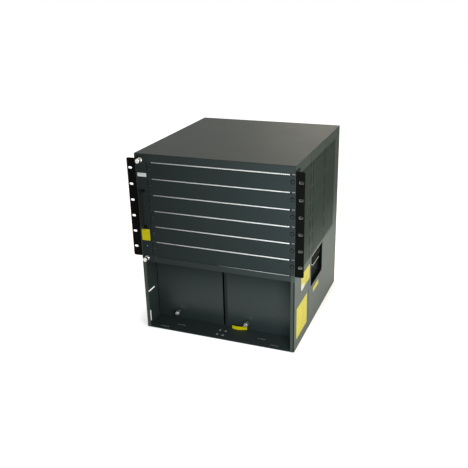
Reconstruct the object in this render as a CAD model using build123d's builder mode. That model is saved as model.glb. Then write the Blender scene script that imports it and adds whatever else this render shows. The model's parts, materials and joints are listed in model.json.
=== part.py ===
from build123d import *
import os

# A six-slot switch chassis for a 19 inch rack, with its fan tray and empty power bay.
# The origin is the centre of the underside, +Z is up and the card slots face -Y.
# Depths are measured back from the front of the faceplates. All sizes are in millimetres.

# Shell
HEIGHT = 511.0
DEPTH = 460.0
SHEET = 1.5
FLOOR_SHEET = 2.0
PLATE = 1.5
BEND = 1.0
FLANGE = 11.0
REAR_FLANGE = 14.0
PAN_LIP = 15.0
PLATE_GAP = 0.8
FIT = 0.3

# Rack ears
RACK_UNIT = 44.45
EAR_FLANGE = 22.8
EAR_SHEET = 2.5
EAR_HEIGHT = 276.0
EAR_RISE = 3.65
EAR_LEG = 30.0
EAR_CORNER = 4.0
EAR_SLOT_SPACING = 465.1
EAR_SLOT_EDGE = 8.75
EAR_SLOT_LENGTH = 12.0
EAR_SLOT_WIDTH = 7.0
EAR_SCREW_DEPTH = 19.0
EAR_SCREW_PITCH = 110.0

# Card slots
SLOT_COUNT = 6
SLOT_GAP = 3.6
TOP_BAND = 19.5
RAIL = 17.0
LID_LIP = 12.0
FILLER_LIP = 15.0
FILLER_EDGE = 2.0
FILLER_SCREW_LEFT = 7.5
FILLER_SCREW_RIGHT = 5.5
FILLER_SCREW_RISE = 26.5
GASKET_DEPTH = 8.5
GASKET_SETBACK = 0.4
GASKET_RISE = 2.4
GASKET_END = 4.0
MULLION = 12.5

# Card guides and backplane
GUIDE_POST = 18.0
GUIDE_POST_SHEET = 4.0
GUIDE_FRONT = 14.0
GUIDE_WIDTH = 7.0
GUIDE_HEIGHT = 6.0
GUIDE_GROOVE = 2.2
GUIDE_RISE = 9.0
BOARD = 3.0
BOARD_STANDOFF = 15.0
BOARD_MARGIN = 4.0
CONNECTOR_LENGTH = 220.0
CONNECTOR_DEPTH = 20.0
CONNECTOR_HEIGHT = 14.0
STANDOFF_FLATS = 8.0
STANDOFF_SIDES = 6
STANDOFF_ROWS = 3
STANDOFF_MARGIN = 16.0

# Fan tray
FAN_FLANGE = 5.0
FAN_SIZE = 119.0
FAN_DEPTH = 25.0
FAN_BORE = 113.0
FAN_ROWS = 2
FAN_ROW_GAP = 5.0
FAN_COLUMN_GAP = 7.5
FAN_SETBACK = 39.0
FAN_CORNER = 6.0
FAN_HUB = 40.0
FAN_BASE = 3.0
FAN_STRUT = 6.0
FAN_FACETS = 20
BLADE_COUNT = 5
BLADE_ROOT_CHORD = 19.0
BLADE_TIP_CHORD = 31.0
BLADE_THICK = 1.8
BLADE_PITCH = 36.0
BLADE_TIP_GAP = 2.5
BLADE_BED = 3.6
TRAY_SHEET = 1.0
TRAY_INSET = 1.15
TRAY_END = 4.5
TRAY_REAR_GAP = 44.5
TRAY_PLATE_LAP = 15.0
AIR_WINDOW = 108.0
TRAY_CONNECTOR = (14.0, 8.0, 60.0)
HANDLE_WIDTH = 10.0
HANDLE_THICK = 7.0
HANDLE_REACH = 21.0
HANDLE_RISE = 82.0
HANDLE_LENGTH = 109.0
HANDLE_BEND = 15.0
LENS = 3.0
LENS_PROUD = 0.8
LENS_RISE = 31.0

# Thumbscrews
THUMB_HEAD = 12.0
THUMB_HEAD_LENGTH = 10.0
THUMB_NECK = 8.0
THUMB_NECK_LENGTH = 3.0
THUMB_COLLAR = 13.0
THUMB_COLLAR_LENGTH = 7.0
THUMB_SHANK = 4.0
THUMB_SHANK_REACH = 6.0
THUMB_SLOT = 1.6
KNURL_SIDES = 12
FAN_THUMB_ABOVE = 5.8
FAN_THUMB_BELOW = 3.5

# Side vents and lifting pockets
VENT_FRONT = 36.0
VENT_REAR = 49.0
VENT_TOP = 29.0
VENT_DROP = 8.0
VENT_LAP = 2.0
VENT_RIM = 1.0
VENT_SLOT_LENGTH = 104.0
VENT_SLOT_HEIGHT = 12.0
VENT_SLOT_PITCH = 28.0
VENT_SLOT_ROWS = 9
POCKET_FRONT = 160.0
POCKET_LENGTH = 125.0
POCKET_HEIGHT = 92.0
POCKET_STRIP = 5.0
POCKET_DEPTH = 30.0
POCKET_WALL = 2.0
POCKET_RIM = 2.5
POCKET_CORNER = 6.0
GRIP_DROP = 38.0
GRIP_SLANT = 30.0
GRIP_SHOULDER = 18.0
GRIP_BED = 0.5
GRIP_THICK = 5.0
GRIP_RECESS = 2.0
SEAM_DEPTH = 138.0
GROOVE = 2.6
GROOVE_DEPTH = 0.9

# Power bay
BAY_DEPTH = 73.0
DIVIDER_LEFT = -6.0
DIVIDER_STRIP = 8.0
DIVIDER_GAP = 5.0
BLANK_EDGE = 2.5
BLANK_LIP = 10.0
BLANK_TOP_GAP = 2.0
SILL_HEIGHT = 38.0
SILL_DEPTH = 20.0
BAY_THUMB_INSET_LEFT = 66.0
BAY_THUMB_INSET_RIGHT = 60.2
BAY_THUMB_RISE = 25.5
TIE_SLOT_LENGTH = 26.0
TIE_SLOT_WIDTH = 4.0
TIE_SLOT_OUTER = (47.0, 59.0, 16.0)
TIE_SLOT_INNER = (90.0, 102.0, 37.5)
LONG_SLIT = (20.0, 57.0, 98.5)
LONG_SLIT_HEIGHT = 5.0
LOW_SLIT = (17.5, 6.5, 40.5)
LOW_SLIT_WIDTH = 9.0
POWER_CONNECTOR = (80.0, 40.0, 30.0)
POWER_CONNECTOR_RISE = 60.0
POWER_CONNECTOR_SPREAD = 105.0

# Small fasteners
SCREW_HEAD = 8.0
SCREW_HEAD_HEIGHT = 2.6
SCREW_FACETS = 8
REAR_SCREW_ROWS = 4
REAR_SCREW_MARGIN = 30.0
FLOOR_SCREW_DEPTH = 32.0
FLOOR_SCREW_X = -2.0
FLOOR_SCREW_SPACING = (17.0, 23.0)

# Places worked out from the sizes above
EAR_SPAN = EAR_SLOT_SPACING + 2 * EAR_SLOT_EDGE
WIDTH = EAR_SPAN - 2 * EAR_FLANGE
HALF_W = WIDTH / 2
WALL_IN = HALF_W - SHEET
FLANGE_IN = HALF_W - FLANGE
FACE = -DEPTH / 2
SKIN = FACE + PLATE
SKIN_BACK = SKIN + SHEET
REAR = DEPTH / 2
REAR_IN = REAR - SHEET
CAGE_REAR = REAR_IN - SHEET - BEND
LID_UNDER = HEIGHT - SHEET
FOLD = BEND + SHEET

CAGE_TOP = HEIGHT - TOP_BAND
CAGE_Z1 = CAGE_TOP - SLOT_GAP / 2
CAGE_Z0 = CAGE_Z1 - SLOT_COUNT * RACK_UNIT
CAGE_MID = (CAGE_Z0 + CAGE_Z1) / 2
BAY_TOP = CAGE_Z0 - RAIL
EAR_MID = CAGE_MID + EAR_RISE

FAN_EDGE = -HALF_W + FAN_FLANGE
TRAY_PLATE_X0 = FAN_EDGE + PLATE_GAP
TRAY_X0 = TRAY_PLATE_X0 + TRAY_INSET
TRAY_X1 = TRAY_X0 + TRAY_SHEET + FAN_DEPTH
TRAY_PLATE_X1 = TRAY_X1 + TRAY_INSET
TRAY_MID = (TRAY_PLATE_X0 + TRAY_PLATE_X1) / 2
TRAY_Z0 = CAGE_Z0 + FIT
TRAY_Z1 = CAGE_Z1 - FIT
FAN_COLUMN_PITCH = FAN_SIZE + FAN_COLUMN_GAP
FAN_ROW_PITCH = FAN_SIZE + FAN_ROW_GAP
FAN_ROOM = DEPTH - FAN_SETBACK - TRAY_END - TRAY_REAR_GAP
FAN_COLUMNS = int((FAN_ROOM + FAN_COLUMN_GAP + FIT) // FAN_COLUMN_PITCH)
FAN_BACK_X = TRAY_X0 + TRAY_SHEET
FAN_YS = [FACE + FAN_SETBACK + FAN_SIZE / 2 + i * FAN_COLUMN_PITCH for i in range(FAN_COLUMNS)]
FAN_ZS = [CAGE_MID + (i - (FAN_ROWS - 1) / 2) * FAN_ROW_PITCH for i in range(FAN_ROWS)]
FAN_CENTRES = [(y, z) for z in FAN_ZS for y in FAN_YS]
TRAY_REAR = FAN_YS[-1] + FAN_SIZE / 2 + TRAY_END
FAN_THUMB_HIGH = CAGE_Z1 + FAN_THUMB_ABOVE
FAN_THUMB_LOW = CAGE_Z0 - FAN_THUMB_BELOW
HANDLE_BOTTOM = CAGE_Z0 + HANDLE_RISE

PARTITION_X0 = TRAY_PLATE_X1 + PLATE_GAP
PARTITION_X1 = PARTITION_X0 + SHEET
CAGE_X0 = PARTITION_X0 + MULLION
CAGE_X1 = FLANGE_IN
FILLER_X0 = PARTITION_X0 + PLATE_GAP
FILLER_X1 = HALF_W - FILLER_EDGE
FILLER_LIP_X0 = CAGE_X0 + PLATE_GAP
FILLER_LIP_X1 = CAGE_X1 - PLATE_GAP
SLOT_ZS = [CAGE_Z1 - (i + 1) * RACK_UNIT for i in range(SLOT_COUNT)]
BOARD_FRONT = REAR_IN - BOARD_STANDOFF - BOARD
GUIDE_REAR = BOARD_FRONT - BOARD_MARGIN

VENT_Y0 = FACE + VENT_FRONT
VENT_Y1 = REAR - VENT_REAR
VENT_Z0 = CAGE_Z0 - VENT_DROP
VENT_Z1 = HEIGHT - VENT_TOP
POCKET_Y = FACE + POCKET_FRONT + POCKET_LENGTH / 2
POCKET_Z = VENT_Z0 - POCKET_STRIP - POCKET_HEIGHT / 2
SEAM_Y = FACE + SEAM_DEPTH
FIELD_YS = [(a + b) / 2 for a, b in zip(FAN_YS, FAN_YS[1:])]

BAY_Y = FACE + BAY_DEPTH
BAY_BACK = BAY_Y + PLATE
BLANK_Z0 = FLOOR_SHEET + FIT
BLANK_Z1 = CAGE_Z0 - SHEET - BLANK_TOP_GAP
LEFT_BLANK_X0 = -WALL_IN + BLANK_EDGE
RIGHT_BLANK_X0 = DIVIDER_LEFT + DIVIDER_STRIP + FIT
BLANKS = {
    "left": (LEFT_BLANK_X0, DIVIDER_LEFT - DIVIDER_GAP, LEFT_BLANK_X0 + BAY_THUMB_INSET_LEFT),
    "right": (RIGHT_BLANK_X0, WALL_IN - BLANK_EDGE, RIGHT_BLANK_X0 + BAY_THUMB_INSET_RIGHT),
}
SCREW_BORE = THUMB_SHANK + 2 * FIT


def front_plane(y, x=0, z=0):
    """A plane facing the front: its x runs along +X and its y along +Z."""
    return Plane(origin=(x, y, z), x_dir=(1, 0, 0), z_dir=(0, -1, 0))


def side_plane(x, y=0, z=0):
    """A plane facing +X: its x runs along +Y and its y along +Z."""
    return Plane(origin=(x, y, z), x_dir=(0, 1, 0), z_dir=(1, 0, 0))


def rect(u0, u1, v0, v1, mode=Mode.ADD):
    """A rectangle between limits, in the open sketch."""
    with Locations(((u0 + u1) / 2, (v0 + v1) / 2)):
        Rectangle(u1 - u0, v1 - v0, mode=mode)


def folded(points, thickness, side, radius):
    """The section of a sheet folded with rounded bends along an outline, in the open sketch."""
    with BuildLine() as outline:
        FilletPolyline(*points, radius=radius)
        offset(amount=thickness, side=side)
    make_face(outline.edges())


def creased(points, thickness, side):
    """The section of a sheet folded with sharp bends along an outline, in the open sketch."""
    with BuildLine() as outline:
        Polyline(*points)
        offset(amount=thickness, side=side)
    make_face(outline.edges())


def screw_bore():
    """The clearance hole of a thumbscrew's shank, in the open sketch."""
    RegularPolygon(SCREW_BORE / 2, SCREW_FACETS, major_radius=False)


def screw_heads(plane, places):
    """Plain screw heads standing on a plane, in the open part."""
    with BuildSketch(plane) as heads:
        with Locations(*places):
            RegularPolygon(SCREW_HEAD / 2, SCREW_FACETS)
    extrude(heads.sketch, amount=SCREW_HEAD_HEIGHT)


def save(builder, label):
    """Name a finished piece and write it."""
    builder.part.label = label
    export_step(builder.part, f"parts/{label}.step")


os.makedirs("parts", exist_ok=True)

# Floor of the chassis: a folded pan whose lips stand inside the side walls
with BuildPart() as base_pan:
    with BuildSketch(front_plane(SKIN)):
        pan = [(-WALL_IN, PAN_LIP), (-WALL_IN, 0), (WALL_IN, 0), (WALL_IN, PAN_LIP)]
        creased(pan, FLOOR_SHEET, Side.LEFT)
    extrude(amount=SKIN - REAR_IN)
    with BuildSketch():
        for side in (-1, 1):
            front_corner = sorted((side * FLANGE_IN, side * HALF_W))
            rear_corner = sorted((side * (HALF_W - REAR_FLANGE), side * HALF_W))
            rect(*front_corner, SKIN, SKIN_BACK + BEND)
            rect(*rear_corner, CAGE_REAR, REAR_IN)
        for left_inset, right_inset, depth in (TIE_SLOT_OUTER, TIE_SLOT_INNER):
            with Locations((left_inset - WALL_IN, FACE + depth), (WALL_IN - right_inset, FACE + depth)):
                Rectangle(TIE_SLOT_LENGTH, TIE_SLOT_WIDTH)
    extrude(amount=PAN_LIP, mode=Mode.SUBTRACT)
    with BuildSketch(Plane.XY.offset(FLOOR_SHEET)):
        rect(-HALF_W, HALF_W, SKIN, BAY_Y)
    extrude(amount=PAN_LIP, mode=Mode.SUBTRACT)
save(base_pan, "base_pan")


def band_notch():
    """Room for the lid's front band and its fold, in an open sketch seen from the side."""
    rect(SKIN, SKIN_BACK, CAGE_TOP, LID_UNDER)
    rect(SKIN, SKIN_BACK + BEND, LID_UNDER - BEND, LID_UNDER)


def wall_channel(side):
    """The folded channel of a side wall with its window and pocket mouth, in the open part."""
    with BuildSketch() as channel:
        outline = [
            (side * FLANGE_IN, SKIN),
            (side * HALF_W, SKIN),
            (side * HALF_W, REAR_IN),
            (side * (HALF_W - REAR_FLANGE), REAR_IN),
        ]
        folded(outline, SHEET, Side.LEFT if side > 0 else Side.RIGHT, FOLD)
    extrude(channel.sketch, amount=LID_UNDER)
    with BuildSketch(side_plane(side * HALF_W)) as notch:
        band_notch()
    extrude(notch.sketch, amount=-side * FLANGE, mode=Mode.SUBTRACT)
    with BuildSketch(side_plane(side * HALF_W)) as openings:
        rect(VENT_Y0, VENT_Y1, VENT_Z0, VENT_Z1)
        with Locations((POCKET_Y, POCKET_Z)):
            RectangleRounded(POCKET_LENGTH, POCKET_HEIGHT, POCKET_CORNER)
    extrude(openings.sketch, amount=-side * SHEET, mode=Mode.SUBTRACT)
    with BuildSketch(side_plane(side * HALF_W)) as grooves:
        rect(SEAM_Y, SEAM_Y + GROOVE, 0, VENT_Z0)
        for y in (SEAM_Y, *FIELD_YS):
            rect(y, y + GROOVE, VENT_Z1, LID_UNDER)
    extrude(grooves.sketch, amount=-side * GROOVE_DEPTH, mode=Mode.SUBTRACT)


# Side walls. The left one is cut back beside the fan tray and has two cord slits in the bay
with BuildPart() as right_side_wall:
    wall_channel(1)
save(right_side_wall, "right_side_wall")

with BuildPart() as left_side_wall:
    wall_channel(-1)
    with BuildSketch(front_plane(SKIN)):
        rect(FAN_EDGE, -FLANGE_IN, CAGE_Z0, CAGE_TOP)
    extrude(amount=-SHEET, mode=Mode.SUBTRACT)
    with BuildSketch(side_plane(-HALF_W)):
        slit_start, slit_end, slit_z = LONG_SLIT
        rect(FACE + slit_start, FACE + slit_end, slit_z, slit_z + LONG_SLIT_HEIGHT)
        slit_y, slit_bottom, slit_top = LOW_SLIT
        rect(FACE + slit_y, FACE + slit_y + LOW_SLIT_WIDTH, slit_bottom, slit_top)
    extrude(amount=SHEET, mode=Mode.SUBTRACT)
save(left_side_wall, "left_side_wall")

# Vent panels: pierced sheets flush in the wall windows, lapped behind the wall by a thin rim
for name, side in (("left", -1), ("right", 1)):
    with BuildPart() as vent_panel:
        with BuildSketch(side_plane(side * WALL_IN)):
            rect(VENT_Y0, VENT_Y1, VENT_Z0, VENT_Z1)
            for y in FAN_YS:
                with Locations((y, (VENT_Z0 + VENT_Z1) / 2)):
                    with GridLocations(0, VENT_SLOT_PITCH, 1, VENT_SLOT_ROWS):
                        Rectangle(VENT_SLOT_LENGTH, VENT_SLOT_HEIGHT, mode=Mode.SUBTRACT)
        extrude(amount=side * SHEET)
        with BuildSketch(side_plane(side * WALL_IN)):
            rect(VENT_Y0 - VENT_LAP, VENT_Y1 + VENT_LAP, VENT_Z0 - VENT_LAP, VENT_Z1 + VENT_LAP)
            rim_in = 2 * VENT_LAP
            rect(VENT_Y0 + rim_in, VENT_Y1 - rim_in, VENT_Z0 + rim_in, VENT_Z1 - rim_in, Mode.SUBTRACT)
        extrude(amount=-side * VENT_RIM)
        with BuildSketch(side_plane(side * HALF_W)):
            for y in FIELD_YS:
                rect(y, y + GROOVE, VENT_Z0, VENT_Z1)
        extrude(amount=-side * GROOVE_DEPTH, mode=Mode.SUBTRACT)
    save(vent_panel, f"{name}_vent_panel")

# Lid: one folded sheet with the front band, and a return lip over the card slots
with BuildPart() as top_cover:
    with BuildSketch(side_plane(-HALF_W)):
        folded([(SKIN, CAGE_TOP), (SKIN, HEIGHT), (REAR, HEIGHT)], SHEET, Side.RIGHT, FOLD)
    extrude(amount=WIDTH)
    with BuildSketch(side_plane(FILLER_LIP_X0)):
        lip = [(SKIN + LID_LIP, CAGE_TOP), (SKIN, CAGE_TOP), (SKIN, HEIGHT - FOLD)]
        folded(lip, SHEET, Side.RIGHT, FOLD)
    extrude(amount=FILLER_LIP_X1 - FILLER_LIP_X0)
    with BuildSketch(front_plane(SKIN, TRAY_MID, FAN_THUMB_HIGH)):
        screw_bore()
    extrude(amount=-SHEET, mode=Mode.SUBTRACT)
save(top_cover, "top_cover")

# Rear closing plate
with BuildPart() as rear_panel:
    with BuildSketch(front_plane(REAR)):
        rect(-HALF_W, HALF_W, 0, LID_UNDER)
    extrude(amount=SHEET)
save(rear_panel, "rear_panel")

# Shelf under the card slots, folded down at the front as the rail above the power bay
with BuildPart() as cage_floor:
    with BuildSketch(side_plane(-FLANGE_IN)):
        shelf = [(SKIN, BAY_TOP), (SKIN, CAGE_Z0), (CAGE_REAR, CAGE_Z0)]
        folded(shelf, SHEET, Side.RIGHT, FOLD)
    extrude(amount=2 * FLANGE_IN)
    with BuildSketch(Plane.XY.offset(CAGE_Z0)):
        rect(VENT_RIM - WALL_IN, WALL_IN - VENT_RIM, SKIN_BACK + BEND, CAGE_REAR)
    extrude(amount=-SHEET)
    with BuildSketch(front_plane(SKIN, TRAY_MID, FAN_THUMB_LOW)):
        screw_bore()
    extrude(amount=-THUMB_SHANK_REACH, mode=Mode.SUBTRACT)
save(cage_floor, "cage_floor")

# Sheet between the fan bay and the card slots, with an air window for each fan
with BuildPart() as fan_bay_partition:
    with BuildSketch(Plane.XY.offset(CAGE_Z0)):
        angle = [(CAGE_X0, SKIN), (PARTITION_X0, SKIN), (PARTITION_X0, CAGE_REAR)]
        creased(angle, SHEET, Side.RIGHT)
    extrude(amount=LID_UNDER - CAGE_Z0)
    with BuildSketch(side_plane(PARTITION_X0)):
        band_notch()
        with Locations(*FAN_CENTRES):
            Rectangle(AIR_WINDOW, AIR_WINDOW)
    extrude(amount=MULLION, mode=Mode.SUBTRACT)
save(fan_bay_partition, "fan_bay_partition")

# Lifting pockets: moulded cups behind the wall mouths, with a slanted grip lip at the top
for name, side in (("left", -1), ("right", 1)):
    inner_face = side_plane(side * WALL_IN, POCKET_Y, POCKET_Z)
    with BuildPart() as handle_pocket:
        with BuildSketch(inner_face):
            Rectangle(POCKET_LENGTH + 2 * POCKET_RIM, POCKET_HEIGHT + 2 * POCKET_RIM)
        extrude(amount=-side * POCKET_WALL)
        with BuildSketch(inner_face):
            Rectangle(POCKET_LENGTH + POCKET_WALL, POCKET_HEIGHT + POCKET_WALL)
        extrude(amount=-side * POCKET_DEPTH)
        with BuildSketch(inner_face):
            RectangleRounded(POCKET_LENGTH - POCKET_WALL, POCKET_HEIGHT - POCKET_WALL, POCKET_CORNER)
        extrude(amount=-side * (POCKET_DEPTH - POCKET_WALL), mode=Mode.SUBTRACT)
        with BuildSketch(side_plane(side * (WALL_IN - GRIP_RECESS), POCKET_Y, POCKET_Z)):
            half_length = POCKET_LENGTH / 2 - GRIP_BED
            top = POCKET_HEIGHT / 2 - GRIP_BED
            low = POCKET_HEIGHT / 2 - GRIP_DROP
            shoulder = low + GRIP_SHOULDER
            with BuildLine():
                Polyline(
                    (-half_length, top),
                    (-half_length, shoulder),
                    (-half_length + GRIP_SLANT, low),
                    (half_length - GRIP_SLANT, low),
                    (half_length, shoulder),
                    (half_length, top),
                    close=True,
                )
            make_face()
        extrude(amount=-side * GRIP_THICK)
    save(handle_pocket, f"{name}_handle_pocket")

# Rack ears: folded brackets with six slots, one for each rack unit
EAR_SLOT_ZS = [EAR_MID + (i - (SLOT_COUNT - 1) / 2) * RACK_UNIT for i in range(SLOT_COUNT)]
for name, side in (("left", -1), ("right", 1)):
    with BuildPart() as rack_ear:
        with BuildSketch(Plane.XY.offset(EAR_MID - EAR_HEIGHT / 2)):
            bracket = [
                (side * EAR_SPAN / 2, FACE),
                (side * HALF_W, FACE),
                (side * HALF_W, FACE + EAR_LEG),
            ]
            creased(bracket, EAR_SHEET, Side.RIGHT if side > 0 else Side.LEFT)
        extrude(amount=EAR_HEIGHT)
        tip = edges().filter_by(Axis.Y).sort_by(lambda e: abs(e.center().X))[-2:]
        fillet(tip, EAR_CORNER)
        with BuildSketch(front_plane(FACE)):
            with Locations(*[(side * EAR_SLOT_SPACING / 2, z) for z in EAR_SLOT_ZS]):
                SlotOverall(EAR_SLOT_LENGTH, EAR_SLOT_WIDTH)
        extrude(amount=-EAR_SHEET, mode=Mode.SUBTRACT)
    save(rack_ear, f"{name}_rack_ear")

# Slot fillers: blank plates with folded lips inside the slot opening
FILLER_HEIGHT = RACK_UNIT - SLOT_GAP
for number, slot_z in enumerate(SLOT_ZS, start=1):
    low = slot_z + SLOT_GAP / 2
    high = low + FILLER_HEIGHT
    with BuildPart() as slot_filler:
        with BuildSketch(side_plane(FILLER_LIP_X0)):
            lips = [(FACE + FILLER_LIP, low), (FACE, low), (FACE, high), (FACE + FILLER_LIP, high)]
            creased(lips, PLATE, Side.RIGHT)
        extrude(amount=FILLER_LIP_X1 - FILLER_LIP_X0)
        with BuildSketch(front_plane(SKIN)):
            rect(FILLER_X0, FILLER_X1, low, high)
        extrude(amount=PLATE)
    save(slot_filler, f"slot_filler_{number}")

    # Bright shielding strip that arches up from the upper lip to the plate above
    with BuildPart() as gasket:
        with BuildSketch(side_plane(FILLER_LIP_X0)):
            front = FACE + GASKET_SETBACK
            back = front + GASKET_DEPTH
            crown = high + SLOT_GAP - FIT
            with BuildLine():
                Polyline(
                    (front, high),
                    (front + GASKET_RISE, crown),
                    (back - GASKET_RISE, crown),
                    (back, high),
                    close=True,
                )
            make_face()
        extrude(amount=CAGE_X1 - GASKET_END - FILLER_LIP_X0)
    save(gasket, f"gasket_{number}")

# Captive screws at both ends of the filler plates
with BuildPart() as filler_screws:
    screw_xs = (FILLER_X0 + FILLER_SCREW_LEFT, FILLER_X1 - FILLER_SCREW_RIGHT)
    screw_heads(front_plane(FACE), [(x, z + FILLER_SCREW_RISE) for x in screw_xs for z in SLOT_ZS])
save(filler_screws, "filler_screws")

# Card guides: two posts joined by a grooved rail for each slot
for name, root, into in (("left", PARTITION_X1, 1), ("right", WALL_IN, -1)):
    with BuildPart() as card_guides:
        with BuildSketch(side_plane(root)):
            rect(FACE + GUIDE_FRONT, FACE + GUIDE_FRONT + GUIDE_POST, CAGE_Z0, CAGE_Z1)
            rect(GUIDE_REAR - GUIDE_POST, GUIDE_REAR, CAGE_Z0, CAGE_Z1)
        extrude(amount=into * GUIDE_POST_SHEET)
        with BuildSketch(front_plane(FACE + GUIDE_FRONT)):
            base = root + into * GUIDE_POST_SHEET
            tip = base + into * GUIDE_WIDTH
            for slot_z in SLOT_ZS:
                middle = slot_z + GUIDE_RISE
                rect(*sorted((base, tip)), middle - GUIDE_HEIGHT / 2, middle + GUIDE_HEIGHT / 2)
                groove_x = sorted((tip, tip - into * GUIDE_WIDTH / 2))
                rect(*groove_x, middle - GUIDE_GROOVE / 2, middle + GUIDE_GROOVE / 2, Mode.SUBTRACT)
        extrude(amount=FACE + GUIDE_FRONT - GUIDE_REAR)
    save(card_guides, f"{name}_card_guides")

# Backplane with a socket for each slot, held off the rear panel by hexagonal standoffs
BOARD_X0 = PARTITION_X1 + BOARD_MARGIN
BOARD_X1 = WALL_IN - BOARD_MARGIN
BOARD_MID = (BOARD_X0 + BOARD_X1) / 2
with BuildPart() as backplane_board:
    with BuildSketch(front_plane(BOARD_FRONT + BOARD)):
        rect(BOARD_X0, BOARD_X1, CAGE_Z0 + FIT, CAGE_Z1)
    extrude(amount=BOARD)
save(backplane_board, "backplane_board")

with BuildPart() as backplane_connectors:
    with BuildSketch(front_plane(BOARD_FRONT)):
        with Locations(*[(BOARD_MID, z + GUIDE_RISE) for z in SLOT_ZS]):
            Rectangle(CONNECTOR_LENGTH, CONNECTOR_HEIGHT)
    extrude(amount=CONNECTOR_DEPTH)
    with BuildSketch(front_plane(BOARD_FRONT - CONNECTOR_DEPTH)):
        with Locations(*[(BOARD_MID, z + GUIDE_RISE) for z in SLOT_ZS]):
            Rectangle(CONNECTOR_LENGTH - CONNECTOR_HEIGHT, CONNECTOR_HEIGHT / 2)
    extrude(amount=-CONNECTOR_DEPTH / 2, mode=Mode.SUBTRACT)
save(backplane_connectors, "backplane_connectors")

with BuildPart() as backplane_standoffs:
    with BuildSketch(front_plane(REAR_IN)):
        with Locations((BOARD_MID, CAGE_MID)):
            spread_x = BOARD_X1 - BOARD_X0 - 2 * STANDOFF_MARGIN
            pitch_z = (CAGE_Z1 - CAGE_Z0 - 2 * STANDOFF_MARGIN) / (STANDOFF_ROWS - 1)
            with GridLocations(spread_x, pitch_z, 2, STANDOFF_ROWS):
                RegularPolygon(STANDOFF_FLATS / 2, STANDOFF_SIDES, major_radius=False)
    extrude(amount=BOARD_STANDOFF)
save(backplane_standoffs, "backplane_standoffs")

# Fan tray: a folded pan behind its faceplate, open towards the card slots
with BuildPart() as fan_tray_frame:
    with BuildSketch(side_plane(TRAY_X0)):
        rect(SKIN, TRAY_REAR, TRAY_Z0, TRAY_Z1)
    extrude(amount=TRAY_X1 - TRAY_X0)
    offset(amount=-TRAY_SHEET, openings=faces().sort_by(Axis.X)[-1])
    with BuildSketch(side_plane(TRAY_X0)):
        with Locations(*FAN_CENTRES):
            Rectangle(AIR_WINDOW, AIR_WINDOW)
    extrude(amount=TRAY_SHEET, mode=Mode.SUBTRACT)
save(fan_tray_frame, "fan_tray_frame")

LENS_Z = CAGE_Z0 + LENS_RISE
with BuildPart() as fan_tray_faceplate:
    with BuildSketch(front_plane(SKIN)):
        rect(TRAY_PLATE_X0, TRAY_PLATE_X1, CAGE_Z0 - TRAY_PLATE_LAP, CAGE_Z1 + TRAY_PLATE_LAP)
    extrude(amount=PLATE)
    with BuildSketch(front_plane(SKIN)):
        with Locations((TRAY_MID, FAN_THUMB_HIGH), (TRAY_MID, FAN_THUMB_LOW)):
            screw_bore()
        with Locations((TRAY_MID, LENS_Z)):
            RegularPolygon(LENS / 2, KNURL_SIDES)
    extrude(amount=PLATE, mode=Mode.SUBTRACT)
save(fan_tray_faceplate, "fan_tray_faceplate")

with BuildPart() as fan_tray_handle:
    with BuildSketch(side_plane(TRAY_MID - HANDLE_WIDTH / 2)):
        handle_top = HANDLE_BOTTOM + HANDLE_LENGTH
        bow = [
            (FACE, HANDLE_BOTTOM),
            (FACE - HANDLE_REACH, HANDLE_BOTTOM),
            (FACE - HANDLE_REACH, handle_top),
            (FACE, handle_top),
        ]
        folded(bow, HANDLE_THICK, Side.RIGHT, HANDLE_BEND)
    extrude(amount=HANDLE_WIDTH)
save(fan_tray_handle, "fan_tray_handle")

with BuildPart() as fan_status_lens:
    with BuildSketch(front_plane(SKIN, TRAY_MID, LENS_Z)):
        RegularPolygon(LENS / 2, KNURL_SIDES)
    extrude(amount=PLATE + LENS_PROUD)
save(fan_status_lens, "fan_status_lens")

with BuildPart() as fan_tray_connector:
    plug_width, plug_depth, plug_height = TRAY_CONNECTOR
    with BuildSketch(front_plane(TRAY_REAR, (TRAY_X0 + TRAY_X1) / 2, CAGE_MID)):
        Rectangle(plug_width, plug_height)
    extrude(amount=-plug_depth)
save(fan_tray_connector, "fan_tray_connector")


def fan_plane(centre):
    """The mounting face of a fan, facing the card slots along +X."""
    return side_plane(FAN_BACK_X, *centre)


# Fan housings: square frames with a round bore, a motor base and four struts
for number, centre in enumerate(FAN_CENTRES, start=1):
    with BuildPart() as fan_housing:
        with BuildSketch(fan_plane(centre)) as outline:
            Rectangle(FAN_SIZE, FAN_SIZE)
            chamfer(outline.vertices(), FAN_CORNER)
            RegularPolygon(FAN_BORE / 2, FAN_FACETS, major_radius=False, mode=Mode.SUBTRACT)
        extrude(amount=FAN_DEPTH)
        with BuildSketch(fan_plane(centre)):
            RegularPolygon(FAN_HUB / 2, FAN_FACETS // 2)
            with PolarLocations(0, 2, start_angle=45, angular_range=180):
                Rectangle(FAN_BORE + FAN_STRUT / 2, FAN_STRUT)
        extrude(amount=FAN_BASE)
    save(fan_housing, f"fan_housing_{number}")

# Fan rotors: a hub with pitched paddle blades, running just clear of the motor base and the bore
BLADE_ROOT = FAN_HUB / 2 - BLADE_BED
BLADE_TIP = FAN_BORE / 2 - BLADE_TIP_GAP
HUB_LENGTH = FAN_DEPTH - FAN_BASE - 2 * FIT
with BuildPart() as blade:
    with BuildSketch(Plane.XY.offset(HUB_LENGTH / 2).rotated((BLADE_PITCH, 0, 0))):
        with BuildLine():
            Polyline(
                (BLADE_ROOT, -BLADE_ROOT_CHORD / 2),
                (BLADE_TIP, -BLADE_TIP_CHORD / 2),
                (BLADE_TIP, BLADE_TIP_CHORD / 2),
                (BLADE_ROOT, BLADE_ROOT_CHORD / 2),
                close=True,
            )
        make_face()
    extrude(amount=BLADE_THICK / 2, both=True)

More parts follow.
